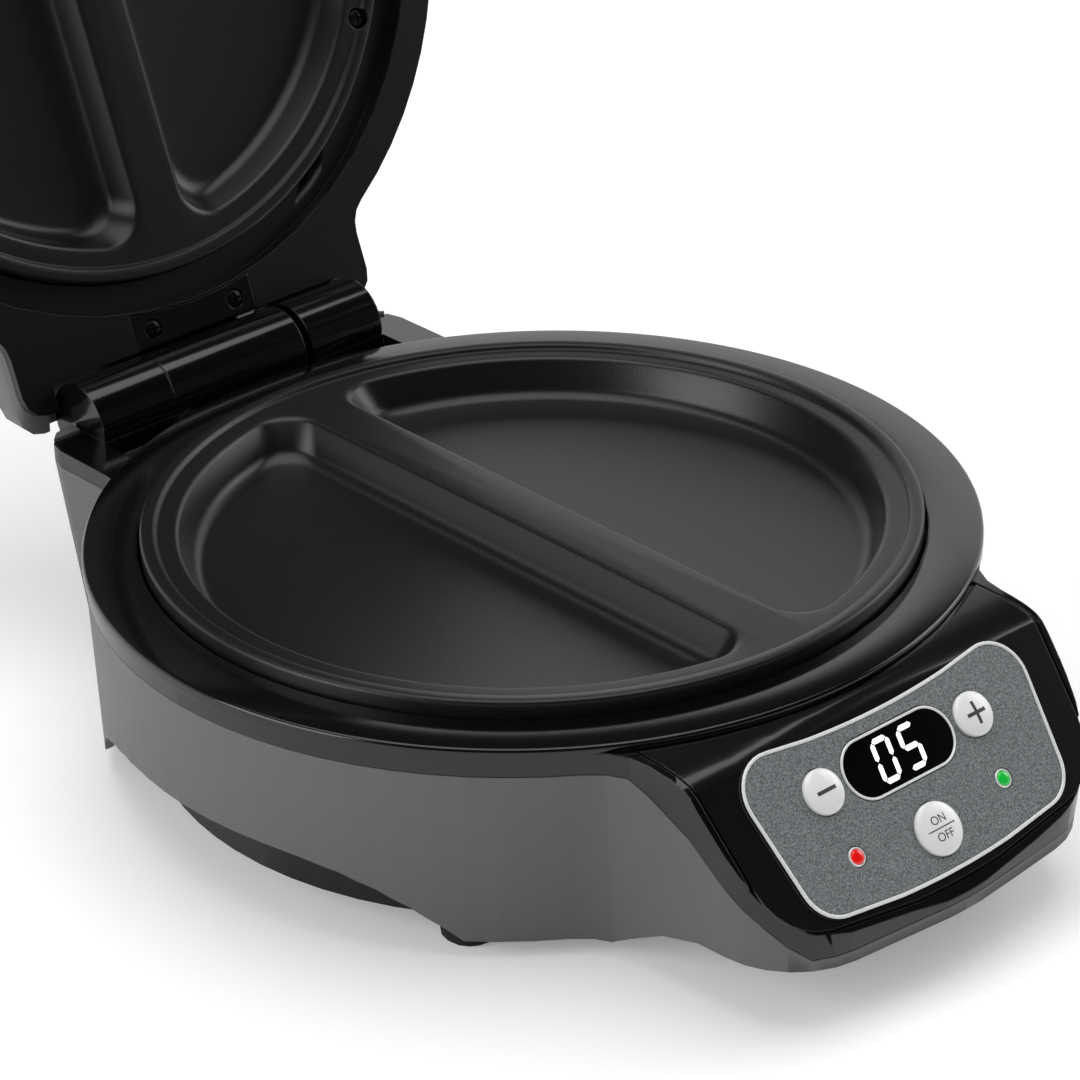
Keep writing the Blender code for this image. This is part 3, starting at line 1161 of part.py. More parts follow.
def build_base():
    piece('top_cover', make_top_cover(), BLACK_GLOSS, ROOT)
    piece('lower_housing', make_lower_housing(), GREY_PLASTIC, ROOT)
    piece('bottom_cover', make_bottom_cover(), DARK_PAN, ROOT)
    piece('lower_plate', make_plate(False), NON_STICK, ROOT)
    heating_element('lower_heating_element', ROOT, False)
    piece('lower_heat_shield', make_heat_shield(), SHIELD_STEEL, ROOT)
    copies('lower_plate_screw', screw(LEDGE_LOW + GAP - PLATE_SCREW_TIP), SCREW_STEEL, ROOT,
           [(name, (x, y, -LEDGE_LOW - GAP)) for name, (x, y) in zip(CORNER_NAMES, screw_places())],
           (math.pi, 0, 0))
    copies('housing_screw', screw(PAN_FLOOR_DROP + GAP - HOUSING_SCREW_TIP), SCREW_STEEL, ROOT,
           [(name, (x, y, -PAN_FLOOR_DROP - GAP)) for name, (x, y) in zip(CORNER_NAMES, post_places())],
           (math.pi, 0, 0))
    piece('thermostat', make_thermostat(), MODULE_WHITE, ROOT)
    pin = rod_x(PIN_RADIUS, PIN_LEFT, PIN_RIGHT, TINY_STEPS)
    piece('hinge_pin', pin, SCREW_STEEL, ROOT)
    copies('foot', make_foot(), RUBBER, ROOT,
           [('_rear_right', (FOOT_REAR_X, FOOT_REAR_Y, 0)), ('_rear_left', (-FOOT_REAR_X, FOOT_REAR_Y, 0)),
            ('_front_left', (-FOOT_FRONT_X, -FOOT_FRONT_Y, 0)),
            ('_front_right', (FOOT_FRONT_X, -FOOT_FRONT_Y, 0))])
    gland = make_gland()
    gland.transform(GLAND_MATRIX)
    piece('cord_gland', gland, BLACK_SATIN, ROOT)
    frame = placed('panel_frame', None, ROOT, (0, -CREASE_Y, -CREASE_DROP), (math.pi + SLOPE, 0, 0))
    make_panel_pieces(frame)


def build_lid():
    pivot = placed('lid_pivot', None, ROOT, (0, AXIS_Y, -AXIS_DROP), (-OPEN_ANGLE, 0, 0))
    closed = placed('lid_closed_frame', None, pivot, (0, -AXIS_Y, AXIS_DROP))
    piece('lid_shell', make_lid_shell(), GREY_PLASTIC, closed)
    piece('lid_frame', make_lid_frame(), BLACK_SATIN, closed)
    piece('upper_plate', flipped(make_plate(True)), NON_STICK, closed)
    heating_element('upper_heating_element', closed, True)
    piece('upper_heat_shield', flipped(make_heat_shield()), SHIELD_STEEL, closed)
    head_seat = 2 * MEETING - LAND_HEIGHT + SCREW_HEAD_HEIGHT - GAP
    copies('upper_plate_screw', screw(UPPER_SCREW_LENGTH), SCREW_STEEL, closed,
           [(name, (x, y, head_seat)) for name, (x, y) in zip(CORNER_NAMES, screw_places())],
           (math.pi, 0, 0))
    piece('hinge_bracket', make_bracket(), BLACK_GLOSS, closed)
    seat = LID_FACE + SCREW_HEAD_HEIGHT - GAP
    copies('bracket_screw', screw(BRACKET_SCREW_END - seat), SCREW_STEEL, closed,
           [(side, (x, BRACKET_SCREW_Y, seat))
            for side, x in zip(SIDE_NAMES, (-BRACKET_SCREW_X, BRACKET_SCREW_X))], (math.pi, 0, 0))
    piece('lid_handle', make_handle(), BLACK_SATIN, closed)
    copies('handle_screw', screw(HANDLE_SCREW_LENGTH), SCREW_STEEL, closed,
           [(side, (x, -HANDLE_SCREW_SEAT, HANDLE_SCREW_Z))
            for side, x in zip(SIDE_NAMES, (-HANDLE_SCREW_X, HANDLE_SCREW_X))], (-math.pi / 2, 0, 0))


def stand_on_floor():
    """Moves the root so that the whole appliance stands centred over the origin on z = 0."""
    bpy.context.view_layer.update()
    graph = bpy.context.evaluated_depsgraph_get()
    corners = []
    for item in bpy.data.objects:
        if item.type in {'MESH', 'CURVE'}:
            shown = item.evaluated_get(graph)
            mesh = shown.to_mesh()
            corners += [shown.matrix_world @ vertex.co for vertex in mesh.vertices]
            shown.to_mesh_clear()
    low = [min(corner[i] for corner in corners) for i in range(3)]
    high = [max(corner[i] for corner in corners) for i in range(3)]
    ROOT.location = (-(low[0] + high[0]) / 2, -(low[1] + high[1]) / 2, -low[2])
    print('size', [round(high[i] - low[i], 5) for i in range(3)])
    print('root', [round(value, 6) for value in ROOT.location])
    print('hinge axis', [round(value, 6) for value in
                         Vector(ROOT.location) + Vector((0, AXIS_Y, -AXIS_DROP))])


build_base()
build_lid()
stand_on_floor()
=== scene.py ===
"""Looks of the omelette maker, built on its CAD frame: metres, +Z up, the control panel towards -Y."""
import math

import bmesh
import bpy
from mathutils import Matrix, Vector


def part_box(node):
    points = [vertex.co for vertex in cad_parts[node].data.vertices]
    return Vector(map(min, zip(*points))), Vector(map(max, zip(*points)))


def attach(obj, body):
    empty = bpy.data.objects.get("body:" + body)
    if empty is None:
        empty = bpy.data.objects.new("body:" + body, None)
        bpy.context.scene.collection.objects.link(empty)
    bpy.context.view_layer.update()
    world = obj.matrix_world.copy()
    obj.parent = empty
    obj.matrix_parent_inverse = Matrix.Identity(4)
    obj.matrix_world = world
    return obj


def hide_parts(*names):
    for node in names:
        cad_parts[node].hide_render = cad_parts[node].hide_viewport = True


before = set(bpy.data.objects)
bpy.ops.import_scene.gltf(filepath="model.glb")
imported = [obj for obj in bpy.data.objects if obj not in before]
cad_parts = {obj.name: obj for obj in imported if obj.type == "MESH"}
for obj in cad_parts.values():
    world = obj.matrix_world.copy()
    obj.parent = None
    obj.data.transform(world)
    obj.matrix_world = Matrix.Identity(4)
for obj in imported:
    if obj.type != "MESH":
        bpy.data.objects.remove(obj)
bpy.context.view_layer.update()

# Camera: it stands left of the front and looks down on the open appliance, with the frame shifted
# a little because the picture is a cut-out of a wider view.
camera = bpy.data.objects.new("camera", bpy.data.cameras.new("camera"))
bpy.context.scene.collection.objects.link(camera)
camera.location = (-0.71383, -0.880173, 0.64903)
camera.rotation_euler = (1.0802, 0.0296, -0.7289)
camera.data.sensor_width = 36
camera.data.lens = 134.336
camera.data.shift_x = 0.00152
camera.data.shift_y = 0.0128
camera.data.clip_start = 0.01
bpy.context.scene.camera = camera

# Studio: a pale floor, a white surround that only the camera and reflections see, and soft boxes
# that light the appliance from above, from the left and from the right. In reflections the white
# stands low behind the appliance, and the room in front of it and above is dark.
SOFT_LIGHT = 0.45
WHITE_BELOW = 0.475
DARK_ABOVE = 0.53
DARK_LEVEL = 0.03
FRONT_LEVEL = 0.05
BEHIND = (0.6, 0.8, 0.0)
FLOOR_HALF = 4.0
FLOOR_LIFT = 0.22
AIM = (0, 0, 0.08)
scene = bpy.context.scene
scene.view_settings.view_transform = "Standard"


def linear(text):
    """A colour from its sRGB hex value."""
    shares = [int(text[i:i + 2], 16) / 255 for i in (1, 3, 5)]
    return (*[s / 12.92 if s <= 0.04045 else ((s + 0.055) / 1.055) ** 2.4 for s in shares], 1.0)


def add(tree, kind, inputs=None, **settings):
    """Adds a node with its settings, its values and its links."""
    item = tree.nodes.new(kind)
    for key, value in settings.items():
        setattr(item, key, value)
    for key, value in (inputs or {}).items():
        if isinstance(value, bpy.types.NodeSocket):
            tree.links.new(value, item.inputs[key])
        else:
            item.inputs[key].default_value = value
    return item


world = bpy.data.worlds.new("white_surround")
world.use_nodes = True
scene.world = world
sky = world.node_tree
sky.nodes.clear()
path = add(sky, "ShaderNodeLightPath")
ahead = add(sky, "ShaderNodeTexCoord").outputs["Generated"]
height = add(sky, "ShaderNodeSeparateXYZ", {0: ahead})
low = add(sky, "ShaderNodeMapRange", {"Value": height.outputs["Z"], "From Min": WHITE_BELOW,
                                      "From Max": DARK_ABOVE, "To Min": 1.0, "To Max": DARK_LEVEL})
behind = add(sky, "ShaderNodeVectorMath", {0: ahead, 1: BEHIND}, operation="DOT_PRODUCT")
behind = add(sky, "ShaderNodeMapRange", {"Value": behind.outputs["Value"], "From Min": -0.1,
                                         "From Max": 0.3, "To Min": FRONT_LEVEL, "To Max": 1.0})
mirrored = add(sky, "ShaderNodeMath", {0: low.outputs[0], 1: behind.outputs[0]}, operation="MULTIPLY")
mirrored = add(sky, "ShaderNodeMath", {0: mirrored.outputs[0], 1: path.outputs["Is Glossy Ray"]},
               operation="MULTIPLY")
seen = add(sky, "ShaderNodeMath", {0: path.outputs["Is Camera Ray"],
                                   1: path.outputs["Is Transmission Ray"]}, operation="MAXIMUM")
seen = add(sky, "ShaderNodeMath", {0: seen.outputs[0], 1: mirrored.outputs[0]}, operation="MAXIMUM")
plain = add(sky, "ShaderNodeMath", {0: path.outputs["Is Diffuse Ray"], 1: SOFT_LIGHT}, operation="MULTIPLY")
level = add(sky, "ShaderNodeMath", {0: seen.outputs[0], 1: plain.outputs[0]}, operation="MAXIMUM")
glow = add(sky, "ShaderNodeBackground", {"Color": (1, 1, 1, 1), "Strength": level.outputs[0]})
add(sky, "ShaderNodeOutputWorld", {"Surface": glow.outputs[0]})

floor_bm = bmesh.new()
bmesh.ops.create_grid(floor_bm, x_segments=1, y_segments=1, size=FLOOR_HALF)
floor_mesh = bpy.data.meshes.new("floor")
floor_bm.to_mesh(floor_mesh)
floor = bpy.data.objects.new("floor", floor_mesh)
scene.collection.objects.link(floor)
floor_paint = bpy.data.materials.new("floor_white")
floor_paint.use_nodes = True
floor_paint.node_tree.nodes.clear()
path = add(floor_paint.node_tree, "ShaderNodeLightPath")
lift = add(floor_paint.node_tree, "ShaderNodeMath", {0: path.outputs["Is Camera Ray"],
                                                     1: FLOOR_LIFT}, operation="MULTIPLY")
white = add(floor_paint.node_tree, "ShaderNodeEmission", {"Strength": lift.outputs[0]})
paint = add(floor_paint.node_tree, "ShaderNodeBsdfDiffuse", {"Color": linear("#f2f2f2")})
both = add(floor_paint.node_tree, "ShaderNodeAddShader", {0: paint.outputs[0], 1: white.outputs[0]})
add(floor_paint.node_tree, "ShaderNodeOutputMaterial", {"Surface": both.outputs[0]})
floor_mesh.materials.append(floor_paint)


def soft_box(name, place, size, power):
    """An area lamp that looks at the appliance."""
    lamp = bpy.data.lights.new(name, "AREA")
    lamp.shape = "SQUARE"
    lamp.size = size
    lamp.energy = power
    item = bpy.data.objects.new(name, lamp)
    item.location = place
    item.rotation_euler = (Vector(AIM) - Vector(place)).to_track_quat("-Z", "Y").to_euler()
    scene.collection.objects.link(item)


soft_box("soft_box_top", (0.1, 0.1, 1.7), 1.6, 15)
soft_box("soft_box_left", (-1.5, 0.3, 0.7), 1.0, 12)
soft_box("soft_box_right", (1.5, -0.5, 0.9), 0.9, 6)

# Lower housing: the grey side wall of the base, injection-moulded ABS with a fine satin grain.
# It is the body's main shell, held to the black cover by screws from below.
plate_low, plate_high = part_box("lower_plate")
RIM_HEIGHT = 0.005
WELD = 0.00001
FLAT = 0.1
BROAD_SHARE = 0.1
SHEEN_SHARE = 0.1
centre_y = (plate_low.y + plate_high.y) / 2
deck_z = plate_high.z - RIM_HEIGHT


def moulded(name, colour, shade, roughness, grain, depth, ior=1.5, metallic=0.0, coat=0.0, soft=0.0004):
    """Surface with a grain of the given size and depth in metres, two close tones and soft edges."""
    skin = bpy.data.materials.new(name)
    skin.use_nodes = True
    tree = skin.node_tree
    shader = tree.nodes["Principled BSDF"]
    shader.inputs["Metallic"].default_value = metallic
    if not metallic:
        shader.inputs["IOR"].default_value = ior
    shader.inputs["Coat Weight"].default_value = coat
    shader.inputs["Coat Roughness"].default_value = 0.05
    place = add(tree, "ShaderNodeTexCoord").outputs["Object"]
    cloud = add(tree, "ShaderNodeTexNoise", {"Vector": place, "Scale": BROAD_SHARE / grain,
                                               "Detail": 3.0})
    fine = add(tree, "ShaderNodeTexNoise", {"Vector": place, "Scale": 1 / grain, "Detail": 2.0})
    tone = add(tree, "ShaderNodeMix", {"Factor": cloud.outputs["Fac"], "A": linear(colour),
                                       "B": linear(shade)}, data_type="RGBA")
    tree.links.new(tone.outputs["Result"], shader.inputs["Base Color"])
    sheen = add(tree, "ShaderNodeMapRange", {"Value": fine.outputs["Fac"],
                                             "To Min": roughness * (1 - SHEEN_SHARE),
                                             "To Max": roughness * (1 + SHEEN_SHARE)})
    tree.links.new(sheen.outputs[0], shader.inputs["Roughness"])
    edge = add(tree, "ShaderNodeBevel", {"Radius": soft}, samples=4)
    bump = add(tree, "ShaderNodeBump", {"Height": fine.outputs["Fac"], "Distance": depth,
                                        "Normal": edge.outputs[0]})
    tree.links.new(bump.outputs[0], shader.inputs["Normal"])
    return skin


def shown(name, bm, skin, body, smooth=40):
    """One finished piece that moves with a body."""
    mesh = bpy.data.meshes.new(name)
    bm.to_mesh(mesh)
    mesh.materials.append(skin)
    mesh.shade_smooth()
    mesh.set_sharp_from_angle(angle=math.radians(smooth))
    item = bpy.data.objects.new(name, mesh)
    scene.collection.objects.link(item)
    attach(item, body)
    return item


def smoothed(node, name, skin, body, smooth=40):
    """A CAD node's shape with its flat faces joined and its round faces shaded smooth."""
    bm = bmesh.new()
    bm.from_mesh(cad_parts[node].data)
    bmesh.ops.remove_doubles(bm, verts=bm.verts, dist=WELD)
    bmesh.ops.dissolve_limit(bm, angle_limit=math.radians(FLAT), verts=bm.verts, edges=bm.edges)
    item = shown(name, bm, skin, body, smooth)
    item.modifiers.new("even_shading", "WEIGHTED_NORMAL").keep_sharp = True
    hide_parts(node)
    return item


grey_abs = moulded("moulded_grey_abs", "#5b5c5e", "#57585a", 0.42, 0.0005, 0.00001)
smoothed("lower_housing", "housing_wall", grey_abs, "base")

# Bottom cover: the dark pan of unpainted polypropylene that closes the base, seen through the low
# arches of the wall. It is screwed to the posts of the cover.
dark_pan = moulded("moulded_dark_polypropylene", "#1d1e1f", "#191a1b", 0.55, 0.0006, 0.00002)
smoothed("bottom_cover", "bottom_pan", dark_pan, "base")

# Feet: round pads of moulded rubber pressed on the pan, matt and nearly black.
rubber = moulded("moulded_rubber", "#121212", "#171717", 0.8, 0.0004, 0.00002, soft=0.0008)
for corner in ("front_left", "front_right", "rear_left", "rear_right"):
    smoothed("foot_" + corner, "rubber_foot_" + corner, rubber, "base")

# Black cover: deck, nose hood and hinge towers in one moulding of polished black ABS. Its shine comes
# from the polished mould, so it mirrors the soft boxes and hardly has a grain.
polished_black = moulded("polished_black_abs", "#060708", "#08090a", 0.12, 0.003, 0.000003, coat=0.2,
                         soft=0.0006)
smoothed("top_cover", "cover_shell", polished_black, "base", 24)


# Deck ring: the raised polished ring that the plate sits in, part of the same moulding. It is turned
# here in fine steps, because its round edges show most from the front.
DECK_RADIUS = 0.13755
DECK_OPENING = 0.12035
DECK_EDGE = 0.0011
DECK_TOP = 0.00005
DECK_UNDER = 0.0038
FINE_STEPS = 192
MERGE = 0.000001


def quarter_round(radius, height, edge, outward, steps=5):
    """Profile points that round a turned edge, from the side up to the top."""
    return [(radius - outward * edge * (1 - math.cos(t)), height - edge * (1 - math.sin(t)))
            for t in [math.pi / 2 * i / steps for i in range(steps + 1)]]


def turned(profile, steps=FINE_STEPS):
    """A lathe body from a closed profile of (radius, height) points, or one that ends on the axis."""
    bm = bmesh.new()
    points = [bm.verts.new((radius, 0, height)) for radius, height in profile]
    edges = [bm.edges.new(pair) for pair in zip(points, points[1:])]
    if profile[0][0] > 0:
        edges.append(bm.edges.new((points[-1], points[0])))
    bmesh.ops.spin(bm, geom=points + edges, cent=(0, 0, 0), axis=(0, 0, 1), angle=math.tau,
                   steps=steps, use_merge=True)
    bmesh.ops.remove_doubles(bm, verts=bm.verts, dist=MERGE)
    bmesh.ops.recalc_face_normals(bm, faces=bm.faces)
    return bm


def set_on_base(bm):
    """Moves a body drawn round the plate's axis at the deck's height to its place."""
    bm.transform(Matrix.Translation((0, centre_y, deck_z)))
    return bm


ring = [(DECK_RADIUS, -DECK_UNDER)] + quarter_round(DECK_RADIUS, DECK_TOP, DECK_EDGE, 1)
ring += reversed(quarter_round(DECK_OPENING, DECK_TOP, DECK_EDGE, -1))
ring.append((DECK_OPENING, -DECK_UNDER))
item = shown("deck_ring", set_on_base(turned(ring)), polished_black, "base")

# Cooking plates: die-cast aluminium with two half-moon wells, sprayed with a black non-stick coating.
# The coating lies softly in the corners and gives a satin sheen with a fine speckle.
non_stick = moulded("sprayed_non_stick_on_cast_aluminium", "#0d0e10", "#111214", 0.33, 0.0007, 0.00003,
                    soft=0.001)
PLATE_RADIUS = 0.1197
PLATE_UNDER = -0.0115
RIM_WIDTH = 0.004
RIM_EDGE = 0.0012
RIM_ROLL = 0.0004
RIM_ROLL_DROP = 0.0002
RIM_FOOT = 0.0012
LAND_HEIGHT = 0.0035
WELL_RADIUS = 0.108
WELL_DIVIDER = 0.009
WELL_CORNER = 0.012
WELL_DEPTH = 0.012
WELL_LIP = 0.0014
WELL_FILLET = 0.0034
WELL_SLOPE = math.tan(math.radians(20))
WELL_STEPS = 64
CORNER_STEPS = 14
LIP_STEPS = 5
FILLET_STEPS = 6


def arc(centre, radius, start, end, steps):
    """Points on an arc in a plane."""
    return [(centre[0] + radius * math.cos(start + (end - start) * i / steps),
             centre[1] + radius * math.sin(start + (end - start) * i / steps)) for i in range(steps + 1)]


def half_moon(inward):
    """Outline of a well, moved inwards: a half disc beside the divider with round corners."""
    radius = WELL_RADIUS - inward
    centre_x = WELL_DIVIDER + inward + WELL_CORNER
    centre = math.sqrt((radius - WELL_CORNER) ** 2 - centre_x ** 2)
    turn = math.atan2(centre, centre_x)
    low = arc((centre_x, -centre), WELL_CORNER, math.pi, math.tau - turn, CORNER_STEPS)
    side = arc((0, 0), radius, -turn, turn, WELL_STEPS)
    high = arc((centre_x, centre), WELL_CORNER, turn, math.pi, CORNER_STEPS)
    return low + side[1:-1] + high


def lofted(rings):
    """Closed body through rings of 3-D points."""
    bm = bmesh.new()
    loops = [[bm.verts.new(point) for point in ring] for ring in rings]
    bm.faces.new(loops[0])
    bm.faces.new(loops[-1])
    for low, high in zip(loops, loops[1:]):
        for i in range(len(low)):
            bm.faces.new((low[i - 1], low[i], high[i], high[i - 1]))
    bmesh.ops.recalc_face_normals(bm, faces=bm.faces)
    return bm


def carved(bm, tools):
    """The body after each tool is cut from it."""
    for tool in tools:
        items = []
        for part in (bm, tool):
            mesh = bpy.data.meshes.new("carving")
            part.to_mesh(mesh)
            items.append(bpy.data.objects.new("carving", mesh))
            scene.collection.objects.link(items[-1])
        step = items[0].modifiers.new("cut", "BOOLEAN")
        step.operation = "DIFFERENCE"
        step.solver = "EXACT"
        step.object = items[1]
        bpy.context.view_layer.update()
        bm = bmesh.new()
        bm.from_mesh(items[0].evaluated_get(bpy.context.evaluated_depsgraph_get()).data)
        for item in items:
            bpy.data.objects.remove(item, do_unlink=True)
        bmesh.ops.remove_doubles(bm, verts=bm.verts, dist=MERGE)
    return bm


def well_tool(side):
    """The space of one well: a soft lip, a drafted wall and a fillet round the floor."""
    rings = []
    floor_z = LAND_HEIGHT - WELL_DEPTH
    levels = [(LAND_HEIGHT + WELL_LIP, -WELL_LIP)]
    levels += [(LAND_HEIGHT - WELL_LIP * (1 - math.cos(t)), -WELL_LIP * (1 - math.sin(t)))
               for t in [math.pi / 2 * i / LIP_STEPS for i in range(LIP_STEPS)]]
    levels += [(floor_z + WELL_FILLET * (1 - math.sin(t)), WELL_FILLET * (1 - math.cos(t)))
               for t in [math.pi / 2 * i / FILLET_STEPS for i in range(FILLET_STEPS + 1)]]
    for z, inward in levels:
        slope = (LAND_HEIGHT - z) * WELL_SLOPE if z < LAND_HEIGHT else 0
        rings.append([(side * x, y, z) for x, y in half_moon(inward + slope)])
    return lofted(rings)


def plate_casting():
    """Turned plate with a raised rim, before the wells are sunk."""
    inner = PLATE_RADIUS - RIM_WIDTH
    profile = [(0, PLATE_UNDER), (PLATE_RADIUS, PLATE_UNDER)]
    profile += quarter_round(PLATE_RADIUS, RIM_HEIGHT, RIM_EDGE, 1)
    profile += [(inner, RIM_HEIGHT), (inner - RIM_ROLL, RIM_HEIGHT - RIM_ROLL_DROP),
                (inner - RIM_FOOT, LAND_HEIGHT), (0, LAND_HEIGHT)]
    return carved(turned(profile), [well_tool(-1), well_tool(1)])


item = shown("lower_plate_casting", set_on_base(plate_casting()), non_stick, "base", 30)
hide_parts("lower_plate")

# Upper plate: the same casting turned over in the lid, with pockets for its four screws.
AXIS_Y = 0.155
AXIS_DROP = 0.001
OPEN_ANGLE = math.radians(110.35)
MEETING = RIM_HEIGHT + 0.00015
SCREW_CIRCLE = 0.1143
SCREW_HEAD = 0.0032
SCREW_HEAD_HEIGHT = 0.002
SCREW_STEPS = 32
SEAT_GAP = 0.0003
POCKET_GAP = 0.0004
CUT_REACH = 0.01
SCREW_ANGLES = tuple(math.radians(a) for a in (31.7, 148.3, 211.7, 328.3))


def set_in_lid(bm):
    """Turns a body drawn in the closed lid up about the hinge axis."""
    hinge = Matrix.Translation((0, centre_y + AXIS_Y, deck_z - AXIS_DROP))
    bm.transform(hinge @ Matrix.Rotation(-OPEN_ANGLE, 4, "X")
                 @ Matrix.Translation((0, -AXIS_Y, AXIS_DROP)))
    return bm


def turned_over(bm):
    """Mirrors a body over the plane where the two plates' rims meet."""
    bm.transform(Matrix.Translation((0, 0, 2 * MEETING)) @ Matrix.Scale(-1, 4, (0, 0, 1)))
    bmesh.ops.reverse_faces(bm, faces=bm.faces)
    return bm


def pocket(x, y):
    """Round cutter that lets a screw's head into the plate."""
    radius = SCREW_HEAD + POCKET_GAP
    low = LAND_HEIGHT - SCREW_HEAD_HEIGHT - SEAT_GAP
    bm = turned([(0, low), (radius, low), (radius, CUT_REACH), (0, CUT_REACH)], SCREW_STEPS)
    bm.transform(Matrix.Translation((x, y, 0)))
    return bm


screw_spots = [(SCREW_CIRCLE * math.cos(a), SCREW_CIRCLE * math.sin(a)) for a in SCREW_ANGLES]
casting = carved(plate_casting(), [pocket(x, y) for x, y in screw_spots])
item = shown("upper_plate_casting", set_in_lid(turned_over(casting)), non_stick, "lid", 30)
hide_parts("upper_plate")

# Lid: a grey moulded shell over a satin black inner frame, with a black bracket that ties it to the
# middle knuckle and a black grip in front.
satin_black = moulded("moulded_black_abs", "#0b0c0d", "#0e0f10", 0.3, 0.0006, 0.00001)
smoothed("lid_shell", "lid_dome", grey_abs, "lid")
smoothed("lid_frame", "lid_inner_frame", satin_black, "lid", 35)
smoothed("hinge_bracket", "bracket_and_knuckle", polished_black, "lid", 35)
smoothed("lid_handle", "grip", satin_black, "lid")

# Black screws: blackened steel with a cross recess, four in the plate and two in the bracket.
black_steel = moulded("blackened_screw_steel", "#1b1b1c", "#232324", 0.35, 0.0008, 0.00001, metallic=0.9,
                      soft=0.0002)
RECESS_HALF = 0.0004
RECESS_ARM = 0.0019
RECESS_DEPTH = 0.0012
SHANK = 0.0015
HEAD_SIDE = 0.0008
HEAD_STEPS = 6
PLATE_SCREW_LENGTH = 0.0165
BRACKET_SCREW_LENGTH = 0.0119
BRACKET_SCREW_X = 0.017
BRACKET_SCREW_Y = 0.1355
BRACKET_SEAT = 0.0071


def block(x, y, low, high):
    """Box about the z axis."""
    bm = bmesh.new()
    bmesh.ops.create_cube(bm, size=1.0, matrix=Matrix.Translation((0, 0, (low + high) / 2))
                          @ Matrix.Diagonal((2 * x, 2 * y, high - low, 1)))
    return bm


def cross_screw(length):
    """Pan head on top of z = 0 with its shank below."""
    head = [(0, -length), (SHANK, -length), (SHANK, 0), (SCREW_HEAD, 0), (SCREW_HEAD, HEAD_SIDE)]
    head += [(SCREW_HEAD * math.cos(t), HEAD_SIDE + (SCREW_HEAD_HEIGHT - HEAD_SIDE) * math.sin(t))
             for t in [math.pi / 2 * i / HEAD_STEPS for i in range(1, HEAD_STEPS)]]
    head.append((0, SCREW_HEAD_HEIGHT))
    low = SCREW_HEAD_HEIGHT - RECESS_DEPTH
    return carved(turned(head, SCREW_STEPS), [block(RECESS_ARM, RECESS_HALF, low, CUT_REACH),
                                              block(RECESS_HALF, RECESS_ARM, low, CUT_REACH)])


plate_seat = 2 * MEETING - LAND_HEIGHT + SCREW_HEAD_HEIGHT - SEAT_GAP
names = ("rear_right", "rear_left", "front_left", "front_right")
for corner, (x, y) in zip(names, screw_spots):
    bm = cross_screw(PLATE_SCREW_LENGTH)
    bm.transform(Matrix.Translation((x, y, plate_seat)) @ Matrix.Rotation(math.pi, 4, "X"))
    item = shown("plate_screw_" + corner, set_in_lid(bm), black_steel, "lid", 35)
    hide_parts("upper_plate_screw_" + corner)
for side, x in (("left", -BRACKET_SCREW_X), ("right", BRACKET_SCREW_X)):
    bm = cross_screw(BRACKET_SCREW_LENGTH)
    bm.transform(Matrix.Translation((x, BRACKET_SCREW_Y, BRACKET_SEAT)) @ Matrix.Rotation(math.pi, 4, "X"))
    item = shown("bracket_screw_head_" + side, set_in_lid(bm), black_steel, "lid", 35)
    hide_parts("bracket_screw_" + side)

# Control fascia: a dark sheet of polished polycarbonate let into the slope, with a fine groove round it.
dark_sheet = moulded("polished_dark_polycarbonate", "#0e1011", "#0c0e0f", 0.16, 0.002, 0.000002,
                     coat=0.2)
smoothed("control_fascia", "fascia_sheet", dark_sheet, "base", 35)

# Panel overlay: grey film with a sparkling sand grain, glued on the fascia. Its grain is drawn twice
# as coarse as the real one, so that it shows.
SLOPE = math.radians(49.8)
CREASE_Y = 0.1405
CREASE_DROP = 0.001
PANEL_TOP = 0.0073
PANEL_BOTTOM = 0.0585
PANEL_HALF_TOP = 0.0583
PANEL_HALF_LOW = 0.0515
PANEL_CORNER = 0.0125
PANEL_BULGE = 0.3
BORDER_WIDTH = 0.0011
BORDER_HEIGHT = 0.0008
OVERLAY_SHEET = 0.0005
DISPLAY_S = 0.0215
DISPLAY_HALF = 0.0217
DISPLAY_RADIUS = 0.0092
BUTTONS = (("minus", -0.0304, 0.0215, 0.00675), ("plus", 0.0304, 0.0215, 0.00675),
           ("start", 0.0, 0.0456, 0.008))
LAMP_X = 0.0299
LAMP_S = 0.0418
LAMP_RING = 0.0029
GAP = 0.0003
FILM_GAP = 0.0001
BOW_STEPS = 6
STADIUM_STEPS = 24
PEG_STEPS = 48
EDGE_ANGLE = 50
GRAIN = 0.00055


def set_on_panel(bm):
    """Moves a body drawn with x across, y down the slope and z inwards to the sloping panel."""
    slope = Matrix(((1, 0, 0, 0),
                    (0, -math.cos(SLOPE), math.sin(SLOPE), centre_y - CREASE_Y),
                    (0, -math.sin(SLOPE), -math.cos(SLOPE), deck_z - CREASE_DROP),
                    (0, 0, 0, 1)))
    bm.transform(slope)
    return bm


def rounded_corner(before, point, after, radius, steps=10):
    """Arc that rounds a corner of an outline."""
    corner = Vector(point)
    back = (Vector(before) - corner).normalized()
    ahead = (Vector(after) - corner).normalized()
    half = back.angle(ahead) / 2
    centre = corner + (back + ahead).normalized() * (radius / math.sin(half))
    first = corner + back * (radius / math.tan(half)) - centre
    last = corner + ahead * (radius / math.tan(half)) - centre
    start = math.atan2(first.y, first.x)
    turn = math.remainder(math.atan2(last.y, last.x) - start, math.tau)
    return arc(centre, radius, start, start + turn, steps)


